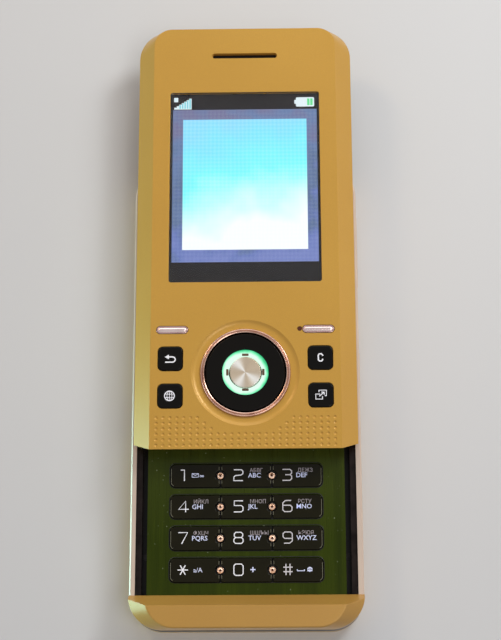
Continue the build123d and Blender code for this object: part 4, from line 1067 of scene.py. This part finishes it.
# ---------------------------------------------------------------- slider half
@dataclass
class SliderShell:
    """Gold front cover with its field of dimples."""

    face_z: float = 14.0
    edge_y: float = -29.0
    columns: int = 27
    pitch_x: float = 1.39
    pitch_y: float = 1.125
    first_row: float = 0.8
    side_counts: tuple[int, ...] = (27, 27, 27, 9, 8, 7)
    dimple_radius: float = 0.36
    dimple_depth: float = 0.17
    dimple_steps: int = 12
    ear_y: float = 57.05
    ear_length: float = 13.8
    ear_width: float = 1.05
    ear_edge: float = 0.16
    dish_steps: int = 144
    dish_section: tuple[Pair, ...] = (
        (9.1, -0.42), (9.9, -0.42), (10.3, -0.38), (10.62, -0.27), (10.86, -0.12), (11.08, 0.0),
        (11.12, 0.2), (9.1, 0.2),
    )

    def dimple_places(self) -> list[Pair]:
        """Lays out the dimples, full rows first and then the stepped ones.

        Returns:
            X and Y of every dimple.
        """
        half = (self.columns - 1) / 2
        places = []
        for row, count in enumerate(self.side_counts):
            y = self.edge_y + self.first_row + row * self.pitch_y
            for column in range(self.columns):
                if column < count or column >= self.columns - count:
                    places.append(((column - half) * self.pitch_x, y))
        return places

    def cutter(self) -> Shape:
        """Makes what is cut away from the cover.

        Returns:
            Plugs for the dimples, a ring for the dish's steep rim and the ear slot's chamfer.
        """
        radius, depth, top = self.dimple_radius, self.dimple_depth, self.face_z
        section = (
            (0.0, top - depth), (0.45 * radius, top - 0.86 * depth),
            (0.8 * radius, top - 0.45 * depth), (radius, top), (radius, top + depth),
            (0.0, top + depth),
        )
        mesh = bmesh.new()
        for place in self.dimple_places():
            turned(mesh, section, place, self.dimple_steps)
        rim = [(radius, top + rise) for radius, rise in self.dish_section]
        turned(mesh, rim, NAV_CENTRE, self.dish_steps)
        half, deep, rise = self.ear_length / 2, self.ear_width / 2, self.ear_edge
        before = set(mesh.faces)
        plate(
            mesh, (-half, self.ear_y - deep, top - rise), (half, self.ear_y + deep, top + rise),
            deep * 0.98, 8,
        )
        lids = [face for face in mesh.faces if face not in before and face.normal.z > 0.9]
        wider = (1 + 2 * rise / self.ear_length, 1 + 2 * rise / self.ear_width, 1.0)
        bmesh.ops.scale(
            mesh, vec=wider, verts=[vert for face in lids for vert in face.verts],
            space=Matrix.Translation((0, -self.ear_y, 0)),
        )
        grow(mesh, MM)
        return mesh

    def build(self, bench: Bench) -> None:
        """Makes the dimpled cover.

        Args:
            bench: Where the piece is made.
        """
        shell = bench.merged("slider_front_cover")
        grow(shell, MM)
        flatten(shell)
        cutter = stand("dimples", baked(self.cutter(), "dimples"))
        holder = stand("shell", baked(shell, "shell"))
        cut = holder.modifiers.new("cut", "BOOLEAN")
        cut.operation, cut.solver, cut.object = "DIFFERENCE", "EXACT", cutter
        depsgraph = bpy.context.evaluated_depsgraph_get()
        dimpled = bmesh.new()
        dimpled.from_mesh(bpy.data.meshes.new_from_object(holder.evaluated_get(depsgraph)))
        bpy.data.objects.remove(holder)
        bpy.data.objects.remove(cutter)
        grow(dimpled, 1 / MM)
        bmesh.ops.triangulate(dimpled, faces=[f for f in dimpled.faces if len(f.verts) > 4])
        bench.place(
            dimpled, "dimpled_front_cover", "slider", "gold_shell", "gold_shell",
            "slider_front_cover",
        )


@dataclass
class Display:
    """Screen picture under the window: status bar, backdrop, panel and soft key bar."""

    ledge_z: float = 13.2
    pane_rise: float = 0.1
    sheet: float = 0.02
    gap: float = 0.002
    window: Box = (-15.8, 6.15, 15.8, 48.45)
    black: Box = (-15.35, 6.6, 15.35, 48.0)
    picture: Box = (-15.35, 10.6, 15.35, 44.8)
    panel: Box = (-13.15, 13.3, 13.15, 42.55)
    message: Box = (-15.15, 46.65, -14.25, 47.65)
    battery: Box = (10.95, 45.35, 14.85, 47.5)
    battery_tip: Box = (10.6, 46.0, 10.98, 46.9)
    charge: Box = (13.35, 45.65, 13.87, 47.2)
    charge_bars: int = 2
    charge_pitch: float = 0.66
    signal: Pair = (-15.1, 44.95)
    bars: int = 7
    bar_pitch: float = 0.53
    bar_low: float = 0.45
    bar_step: float = 0.34
    bar_inset: Box = (0.06, 0.16, 0.16, 0.1)
    icon_lift: float = 0.01
    icon_corner: float = 0.1
    battery_corner: float = 0.25

    def build(self, bench: Bench) -> None:
        """Makes the pane, with room for the picture under it, and the picture's sheets.

        Args:
            bench: Where the pieces are made.
        """
        pane = bench.merged("display_window")
        for vert in pane.verts:
            vert.co.z = max(vert.co.z, self.ledge_z + self.pane_rise)
        bench.place(
            pane, "window_pane", "slider", "window_glass", "window_glass", "display_window"
        )
        for step, (name, box, finish) in enumerate((
            ("window_border", self.window, "window_print_and_painted_gap_shadow"),
            ("screen_black", self.black, "screen_bar"),
            ("screen_backdrop", self.picture, "screen_backdrop"),
            ("screen_panel", self.panel, "screen_panel"),
        )):
            mesh = bmesh.new()
            sheet(mesh, box, self.ledge_z + self.gap + step * self.sheet, self.sheet - self.gap)
            bench.place(mesh, name, "slider", finish, "lcd_frame")
        self.build_icons(bench)

    def build_icons(self, bench: Bench) -> None:
        """Makes the signal stair and the battery mark in the status bar.

        Args:
            bench: Where the pieces are made.
        """
        floor = self.ledge_z + 2 * (self.sheet + self.gap)
        over = floor + self.icon_lift
        icons = {name: bmesh.new() for name in ("white", "cyan", "green")}
        for box in (self.message, self.battery, self.battery_tip):
            corner = self.battery_corner if box is self.battery else self.icon_corner
            sheet(icons["white"], box, floor, self.sheet, corner)
        (left, low), inset = self.signal, self.bar_inset
        for bar in range(self.bars):
            x, rise = left + bar * self.bar_pitch, self.bar_low + bar * self.bar_step
            end = x + self.bar_pitch
            sheet(icons["white"], (x, low, end, low + rise), floor, self.sheet)
            if bar > 1:
                high = low + rise - inset[3]
                inside = (x + inset[0], low + inset[1], end - inset[2], high)
                sheet(icons["cyan"], inside, over, self.sheet)
        left, low, right, high = self.charge
        for bar in range(self.charge_bars):
            step = bar * self.charge_pitch
            sheet(icons["green"], (left + step, low, right + step, high), over, self.sheet)
        for name, mesh in icons.items():
            bench.place(mesh, f"status_{name}", "slider", f"icon_{name}", "lcd_frame")


@dataclass
class NavigationCluster:
    """Trim ring, light ring marks and their places round the navigation key."""

    trim_inner: float = 8.35
    trim_outer: float = 9.2
    trim_low: float = 13.3
    trim_top: float = 14.15
    trim_steps: int = 144
    mark_radius: float = 3.66
    mark_size: Pair = (1.35, 0.5)
    guide_top: float = 14.05

    def build(self, bench: Bench) -> None:
        """Makes the trim ring and the marks.

        Args:
            bench: Where the pieces are made.
        """
        inner, outer, top = self.trim_inner, self.trim_outer, self.trim_top
        section = (
            (inner, self.trim_low), (outer, self.trim_low), (outer, top - 0.22),
            (outer - 0.08, top - 0.1), (outer - 0.2, top - 0.06), (outer - 0.32, top - 0.12),
            (outer - 0.4, top - 0.3), (inner + 0.37, top - 0.3), (inner + 0.31, top - 0.08),
            (inner + 0.22, top), (inner + 0.11, top - 0.02), (inner + 0.03, top - 0.1),
            (inner, top - 0.2),
        )
        ring = bmesh.new()
        turned(ring, section, NAV_CENTRE, self.trim_steps)
        bench.place(
            ring, "double_trim_ring", "slider", "trim_chrome", "trim_chrome", "nav_trim_ring", 40.0
        )
        marks = bmesh.new()
        long, deep = self.mark_size
        for quarter in range(4):
            before = set(marks.verts)
            plate(
                marks, (-long / 2, self.mark_radius - deep / 2, self.guide_top - 0.02),
                (long / 2, self.mark_radius + deep / 2, self.guide_top + 0.03), 0.1, 2,
            )
            new = [vert for vert in marks.verts if vert not in before]
            turn = Matrix.Rotation(quarter * math.pi / 2, 3, "Z")
            bmesh.ops.rotate(marks, cent=(0, 0, 0), matrix=turn, verts=new)
            bmesh.ops.translate(marks, vec=(*NAV_CENTRE, 0), verts=new)
        bench.place(marks, "light_ring_marks", "nav_key", "guide_mark")


@dataclass
class CameraEye:
    """Ring and lens that lie in the recess over the camera's pane."""

    centre: Pair = (0.0, 24.5)
    ring: Pair = (2.5, 2.9)
    ring_steps: int = 64
    lens: Pair = (0.9, 1.7)
    lens_steps: int = 48
    low: float = 0.008
    high: float = 0.049

    def build(self, bench: Bench) -> None:
        """Makes the ring and the lens.

        Args:
            bench: Where the pieces are made.
        """
        low, high = self.low, self.high
        (inner, outer), (flat, rim) = self.ring, self.lens
        ring, lens = bmesh.new(), bmesh.new()
        section = ((inner, low), (outer, low), (outer, high), (inner, high))
        turned(ring, section, self.centre, self.ring_steps)
        bench.place(ring, "camera_ring", "base", "trim_chrome", "camera_glass")
        dome = ((0.0, low), (flat, low + 0.006), (rim, high - 0.01), (0.0, high))
        turned(lens, dome, self.centre, self.lens_steps)
        bench.place(lens, "camera_lens", "base", "lens_violet", "camera_glass")


RETURN_ARROW: tuple[Mark, ...] = (
    Line("-0.5,0.35 0.55,0.35", 0.26), Arc((0.5, -0.2), (0.55, 0.55), 0.26, -90, 180, 10),
    Line("-1,-0.75 0.5,-0.75", 0.26), Line("-0.35,-0.07 -0.35,0.77", 0.24),
    Line("-0.55,0.05 -0.55,0.65", 0.24), Line("-0.75,0.17 -0.75,0.53", 0.24),
    Line("-0.95,0.29 -0.95,0.41", 0.24),
)
GLOBE: tuple[Mark, ...] = (
    Arc((-0.05, 0.0), (1.0, 1.0), 0.19), Arc((-0.05, 0.0), (0.5, 1.0), 0.12),
    Line("-0.05,-1 -0.05,1", 0.12), Line("-1,0.36 0.9,0.36", 0.12),
    Line("-1,-0.36 0.9,-0.36", 0.12),
)
LETTER_C: tuple[Mark, ...] = (
    Line(
        "0.45,0.3 0.45,0.5 0.25,0.75 -0.2,0.75 -0.42,0.5 -0.42,-0.5 -0.2,-0.75 0.25,-0.75 "
        "0.45,-0.5 0.45,-0.3", 0.28,
    ),
)
WINDOWS: tuple[Mark, ...] = (
    Line("-0.2,0.15 -1.05,0.15 -1.05,-0.9 0.3,-0.9 0.3,-0.3", 0.2),
    Line("-0.4,0.55 -0.4,0.95 1.1,0.95 1.1,-0.2 0.75,-0.2", 0.2),
    Line("-0.35,-0.3 0.6,0.5", 0.2), Line("0.1,0.55 0.65,0.55 0.65,0", 0.2),
)


@dataclass
class FaceKeys:
    """Soft keys, and the white marks on the four square keys beside the navigation key."""

    top: float = 14.2
    left_x: float = -15.35
    right_x: float = 15.31
    upper_y: float = -10.25
    lower_y: float = -18.05
    cap_drop: float = 0.34
    cap_steps: tuple[Pair, ...] = (
        (0.07, 0.12), (0.09, 0.09), (0.11, 0.065), (0.13, 0.045), (0.12, 0.02),
    )
    edge: float = 0.1

    def build(self, bench: Bench) -> None:
        """Rounds the soft keys and prints the four marks.

        Args:
            bench: Where the pieces are made.
        """
        for name in ("soft_key_left", "soft_key_right"):
            pill = bench.merged(name)
            flatten(pill)
            crown(pill, self.cap_drop, self.cap_steps)
            bench.place(pill, f"{name}_cap", name, "soft_key_chrome", "soft_key_chrome", name, 50)
        for name, x, y, marks in (
            ("back_key", self.left_x, self.upper_y, RETURN_ARROW),
            ("browser_key", self.left_x, self.lower_y, GLOBE),
            ("clear_key", self.right_x, self.upper_y, LETTER_C),
            ("shortcut_key", self.right_x, self.lower_y, WINDOWS),
        ):
            bench.ink(marks, (x, y, self.top), f"{name}_mark", name, "print_white")
            bench.soften(name, self.edge)
            bench.coat(name, "face_key_black")
        bench.coat("light_sensor", "sensor_brown_and_painted_dot_reflection")


# ---------------------------------------------------------------- keypad half
DIGIT_SIZE: Pair = (1.85, 2.25)
DIGIT_GRID: Pair = (10.0, 12.0)
DIGIT_LINE = 0.21
LETTER_SIZE = 1.34


@dataclass(frozen=True)
class Legend:
    """Prints of one key: its digit's paths on a grid, its letters and its other marks."""

    paths: tuple[str, ...]
    letters: str = ""
    second: str = ""
    marks: tuple[Mark, ...] = ()

    def digit(self) -> list[Mark]:
        """Turns the digit's paths into strokes.

        Returns:
            The strokes, round the digit's middle.
        """
        (wide, high), (across, up) = DIGIT_SIZE, DIGIT_GRID
        scale, shift = (wide / across, high / up), (-wide / 2, -high / 2)
        return [Line(path, DIGIT_LINE, scale, shift) for path in self.paths]

    def side(self) -> tuple[Mark, ...]:
        """Letter group or marks that stand to the right of the digit."""
        return (Words(self.letters, LETTER_SIZE, 0.012),) if self.letters else self.marks


LEGENDS: dict[str, Legend] = {
    "1": Legend(("2,12 6,12 6,0",), marks=(
        Line("0,-0.35 1.3,-0.35 1.3,0.4 0,0.4 0,-0.35", 0.14), Line("0,0.38 0.65,0 1.3,0.38", 0.14),
        Arc((1.75, -0.15), (0.17, 0.17), 0.12, steps=10),
        Arc((2.2, -0.15), (0.17, 0.17), 0.12, steps=10),
    )),
    "2": Legend(("0,12 8.2,12 10,10.4 10,7.8 8.2,6.2 1.8,5.6 0,4 0,0 10,0",), "ABC", "АБВГ"),
    "3": Legend((
        "0,12 8.2,12 10,10.3 10,7.9 8.2,6.2 3,6.2", "8.2,6.2 10,4.6 10,1.8 8.2,0 0,0",
    ), "DEF", "ДЕЖЗ"),
    "4": Legend(("7.6,0 7.6,12 0,3.2 11,3.2",), "GHI", "ИЙКЛ"),
    "5": Legend(("10,12 0.4,12 0.4,6.9 8.2,6.9 10,5.2 10,1.8 8.2,0 0,0",), "JKL", "МНОП"),
    "6": Legend((
        "9,12 3,12 0,9.6 0,1.8 1.8,0 8.2,0 10,1.8 10,5.2 8.2,6.9 0,6.9",
    ), "MNO", "РСТУ"),
    "7": Legend(("0,12 10,12 3.6,0",), "PQRS", "ФХЦЧ"),
    "8": Legend((
        "1.9,6.3 0.4,7.9 0.4,10.2 2.2,12 7.8,12 9.6,10.2 9.6,7.9 8.1,6.3 1.9,6.3 0,4.6 0,1.8 "
        "1.8,0 8.2,0 10,1.8 10,4.6 8.1,6.3",
    ), "TUV", "ШЩЪЫ"),
    "9": Legend((
        "1,0 7,0 10,2.4 10,10.2 8.2,12 1.8,12 0,10.2 0,6.8 1.8,5.1 10,5.1",
    ), "WXYZ", "ЬЭЮЯ"),
    "star": Legend(
        ("-0.6,6 10.6,6", "2.2,11 7.8,1", "7.8,11 2.2,1"),
        marks=(Words("a/A", LETTER_SIZE, shift=(0.35, 0.0)),),
    ),
    "0": Legend(
        ("1.8,0 8.2,0 10,1.8 10,10.2 8.2,12 1.8,12 0,10.2 0,1.8 1.8,0",),
        marks=(Line("0.4,0 1.4,0", 0.24), Line("0.9,-0.5 0.9,0.5", 0.24)),
    ),
    "hash": Legend(("2.8,0 2.8,12", "7.2,0 7.2,12", "0,8.4 10,8.4", "0,3.6 10,3.6"), marks=(
        Line("0.1,0 0.1,-0.28 1.5,-0.28 1.5,0", 0.22),
        Arc((2.6, -0.05), (0.42, 0.42), 0.24, 0, 180, 8),
        Line("2.1,-0.25 3.1,-0.25", 0.26), Line("2.6,0.3 2.6,-0.5", 0.22),
    )),
}


@dataclass
class Keypad:
    """Prints of the twelve keys, black rims of painted shadow round their rows, lines of painted
    highlight along the keys' edges, and the dots between with dark discs of painted reflection.
    """

    top: float = 8.6
    rows: tuple[float, ...] = (-33.4, -39.77, -46.14, -52.51)
    digit_x: Point = (-12.75, -1.58, 8.32)
    letter_x: Point = (-11.0, 0.4, 10.1)
    second_size: float = 1.12
    second_stretch: float = 0.95
    second_shift: Pair = (0.3, 1.02)
    key_edge: float = 0.12
    plate_top: float = 8.35
    row_half: float = 15.57
    row_high: float = 2.58
    rim_corner: float = 1.22
    rim_width: float = 0.16
    dot_x: float = 5.22
    dot_shift: float = -0.1
    dot_top: float = 8.75
    dot_drop: float = 0.22
    dot_steps: tuple[Pair, ...] = ((0.12, 0.1), (0.12, 0.06), (0.12, 0.04), (0.08, 0.02))
    heart: float = 0.28
    spans: tuple[Pair, ...] = ((-15.35, -5.37), (-5.07, 5.07), (5.37, 15.35))
    glint_inset: float = 0.13
    glint_reach: float = 1.4
    glint_near: float = 1.05
    glint_far: float = 0.35
    glint_turn: float = 0.75
    glint_angles: tuple[float, ...] = (0.0, 0.4, 0.8, 1.2)
    glint_line: float = 0.08

    def build(self, bench: Bench) -> None:
        """Domes the dots and prints the rims and every key.

        Args:
            bench: Where the pieces are made.
        """
        dots = bench.merged("keypad_light_dots")
        flatten(dots)
        crown(dots, self.dot_drop, self.dot_steps)
        bench.place(
            dots, "domed_light_dots", "base", "jewel_chrome", "jewel_chrome",
            "keypad_light_dots", 50,
        )
        self.build_painted_shadow_rims(bench)
        for index, (key, legend) in enumerate(LEGENDS.items()):
            row, column = self.rows[index // 3], index % 3
            body, digit_ink = f"key_{key}", "print_soft" if column == 2 else "print_white"
            left = (self.letter_x[column], row, self.top)
            bench.soften(body, self.key_edge)
            spot = (self.digit_x[column], row, self.top)
            bench.ink(legend.digit(), spot, f"digit_{key}", body, digit_ink)
            self.build_glints(bench, key, column, row)
            bench.ink(legend.side(), left, f"letters_{key}", body, "print_blue")
            if legend.second:
                words = Words(
                    legend.second, self.second_size, 0.0, self.second_stretch, self.second_shift
                )
                bench.ink([words], left, f"second_letters_{key}", body, "print_dim")

    def build_glints(self, bench: Bench, key: str, column: int, y: float) -> None:
        """Draws thin lines of painted highlight along the edges of one key.

        Args:
            bench: Where the piece is made.
            key: Key that they belong to.
            column: Column of the key, from 0.
            y: Middle of the key.
        """
        low, high = self.spans[column]
        reach, turn = self.glint_reach, self.glint_turn
        # Painted highlight: these lines stand in for light caught on the key edges.
        painted_glints = Printer(self.top)
        for x, side, outer in ((low, 1, column == 0), (high, -1, column == 2)):
            edge = x + side * self.glint_inset
            if outer:
                foot = [
                    (edge + side * turn * (1 - math.cos(a)), y - reach - turn * math.sin(a))
                    for a in self.glint_angles
                ]
                painted_glints.stroke([(edge, y + reach), *foot], self.glint_line)
            else:
                for way in (-1, 1):
                    ends = (y + way * self.glint_near, y + way * (reach + self.glint_far))
                    painted_glints.stroke([(edge, end) for end in ends], self.glint_line)
        bench.place(painted_glints.mesh, f"glints_{key}", f"key_{key}", "painted_key_glint", "key_black")

    def build_painted_shadow_rims(self, bench: Bench) -> None:
        """Prints a black rim of painted shadow round each row of keys and sets a dark disc of
        painted reflection on each dot.

        Args:
            bench: Where the pieces are made.
        """
        # Black lines of painted shadow go round the key rows, and dark discs of painted reflection
        # sit on top of the dots.
        rims, painted_reflections = Printer(self.plate_top), bmesh.new()
        half, high, turn = self.row_half, self.row_high, self.rim_corner
        foot, top = self.dot_top - 0.02, self.dot_top + 0.004
        section = ((0.0, foot), (self.heart, foot), (self.heart, top), (0.0, top + 0.008))
        for y in self.rows:
            points = []
            for x_side, y_side, start in ((1, 1, 0), (-1, 1, 90), (-1, -1, 180), (1, -1, 270)):
                for step in range(5):
                    angle = math.radians(start + 22.5 * step)
                    points.append((
                        x_side * (half - turn) + turn * math.cos(angle),
                        y + y_side * (high - turn) + turn * math.sin(angle),
                    ))
            rims.stroke(points, self.rim_width, closed=True)
            for side in (-1, 1):
                turned(painted_reflections, section, (side * self.dot_x, y + self.dot_shift), 16)
        bench.place(rims.mesh, "painted_row_shadow_rims", "base", "window_print_and_painted_gap_shadow", "olive_plate")
        bench.place(painted_reflections, "light_dot_painted_reflections", "base", "sensor_brown_and_painted_dot_reflection", "jewel_chrome")


# ---------------------------------------------------------------- studio
@dataclass(frozen=True)
class Lamp:
    """Soft box: its place and aim in metres, its two sides, power and colour."""

    name: str
    place: Point
    sides: Pair
    power: float
    colour: Point = (1.0, 0.99, 0.97)
    aim: Point = (0.0, 0.0, 0.0)

    def hang(self) -> None:
        """Makes the lamp, unseen by the camera and turned to its aim."""
        lamp = bpy.data.lights.new(self.name, "AREA")
        lamp.shape = "RECTANGLE"
        lamp.size, lamp.size_y = self.sides
        lamp.energy, lamp.color = self.power, self.colour
        holder = stand(self.name, lamp)
        holder.location = self.place
        holder.rotation_mode = "QUATERNION"
        ahead = Vector(self.aim) - Vector(self.place)
        holder.rotation_quaternion = ahead.to_track_quat("-Z", "Y")
        holder.visible_camera = False


@dataclass
class Studio:
    """Pale floor, soft lamps and the camera, whose eye is in millimetres."""

    eye: Point = (6.936, -89.562, 324.908)
    elevation: float = 74.265
    yaw: float = -3.827
    roll: float = -4.17
    lens: float = 88.463
    floor_size: float = 6.0
    floor_drop: float = 0.00002
    room_colour: Colour = (0.80, 0.81, 0.84, 1.0)
    room_strength: float = 0.29
    lamps: tuple[Lamp, ...] = (
        Lamp("front_top", (0.3, -0.3, 0.86), (0.34, 0.34), 1.55),
        Lamp("back_top", (0.05, 0.8, 0.5), (0.7, 0.7), 2.2),
        Lamp("upper_right", (0.23, 0.21, 0.3), (0.14, 0.14), 0.7, (0.97, 1.0, 0.98)),
        Lamp("upper_left", (-0.42, 0.42, 0.45), (0.16, 0.16), 0.8, (1.0, 0.76, 0.46)),
        Lamp(
            "low_left", (-0.22, -0.06, -0.0145), (0.16, 0.024), 0.3, (0.46, 1.0, 1.0),
            (-0.021, -0.04, 0.0125),
        ),
        Lamp("under", (0.0, -0.1, -0.7), (0.6, 0.6), 3.2),
        Lamp(
            "low_right", (0.4, 0.05, 0.08), (0.3, 0.1), 0.09, (1.0, 0.6, 0.3),
            (0.021, 0.0, 0.0125),
        ),
    )

    def build_floor(self) -> None:
        """Makes the floor under the phone."""
        mesh = bmesh.new()
        bmesh.ops.create_grid(mesh, x_segments=1, y_segments=1, size=self.floor_size / 2)
        floor = stand("floor", baked(mesh, "floor"))
        floor.data.materials.append(Floor("floor").build())
        floor.location.z = -self.floor_drop

    def build_world(self) -> None:
        """Lights the room evenly, and shows the backdrop in its place."""
        world = bpy.data.worlds.new("room")
        kit = NodeKit(world)
        room = kit.nodes["Background"]
        kit.feed(room.inputs["Color"], self.room_colour)
        kit.feed(room.inputs["Strength"], self.room_strength)
        shown = kit.add("Background", {"Color": BACKDROP}).outputs[0]
        both = kit.cross(kit.seen(), room.outputs[0], shown)
        kit.feed(kit.nodes["World Output"].inputs["Surface"], both)
        bpy.context.scene.world = world

    def build_camera(self) -> None:
        """Sets the camera up from its bearing, height and roll."""
        rise, turn, roll = (math.radians(v) for v in (self.elevation, self.yaw, self.roll))
        ahead = Vector((
            math.sin(turn) * math.cos(rise), math.cos(turn) * math.cos(rise), -math.sin(rise),
        ))
        level = Vector((math.cos(turn), -math.sin(turn), 0.0))
        above = level.cross(ahead)
        right = math.cos(roll) * level + math.sin(roll) * above
        up = -math.sin(roll) * level + math.cos(roll) * above
        lens = bpy.data.cameras.new("camera")
        lens.lens, lens.sensor_fit, lens.sensor_width = self.lens, "AUTO", 36.0
        lens.clip_start, lens.clip_end = 0.01, 10.0
        camera = stand("camera", lens)
        facing = Matrix((right, up, -ahead)).transposed().to_4x4()
        camera.matrix_world = Matrix.Translation(Vector(self.eye) * MM) @ facing
        bpy.context.scene.camera = camera

    def build(self) -> None:
        """Makes the whole studio."""
        self.build_floor()
        self.build_world()
        for lamp in self.lamps:
            lamp.hang()
        self.build_camera()
        bpy.context.scene.view_settings.view_transform = "Standard"


def main() -> None:
    """Builds the phone's looks and the studio."""
    logging.basicConfig(level=logging.INFO, format="%(message)s")
    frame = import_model()
    bench = Bench(frame)
    bench.dress_nodes()
    Studio().build()
    assemblies = (
        SliderShell(), Display(), NavigationCluster(), CameraEye(), FaceKeys(), Keypad(),
    )
    for assembly in assemblies:
        assembly.build(bench)


if __name__ == "__main__":
    main()
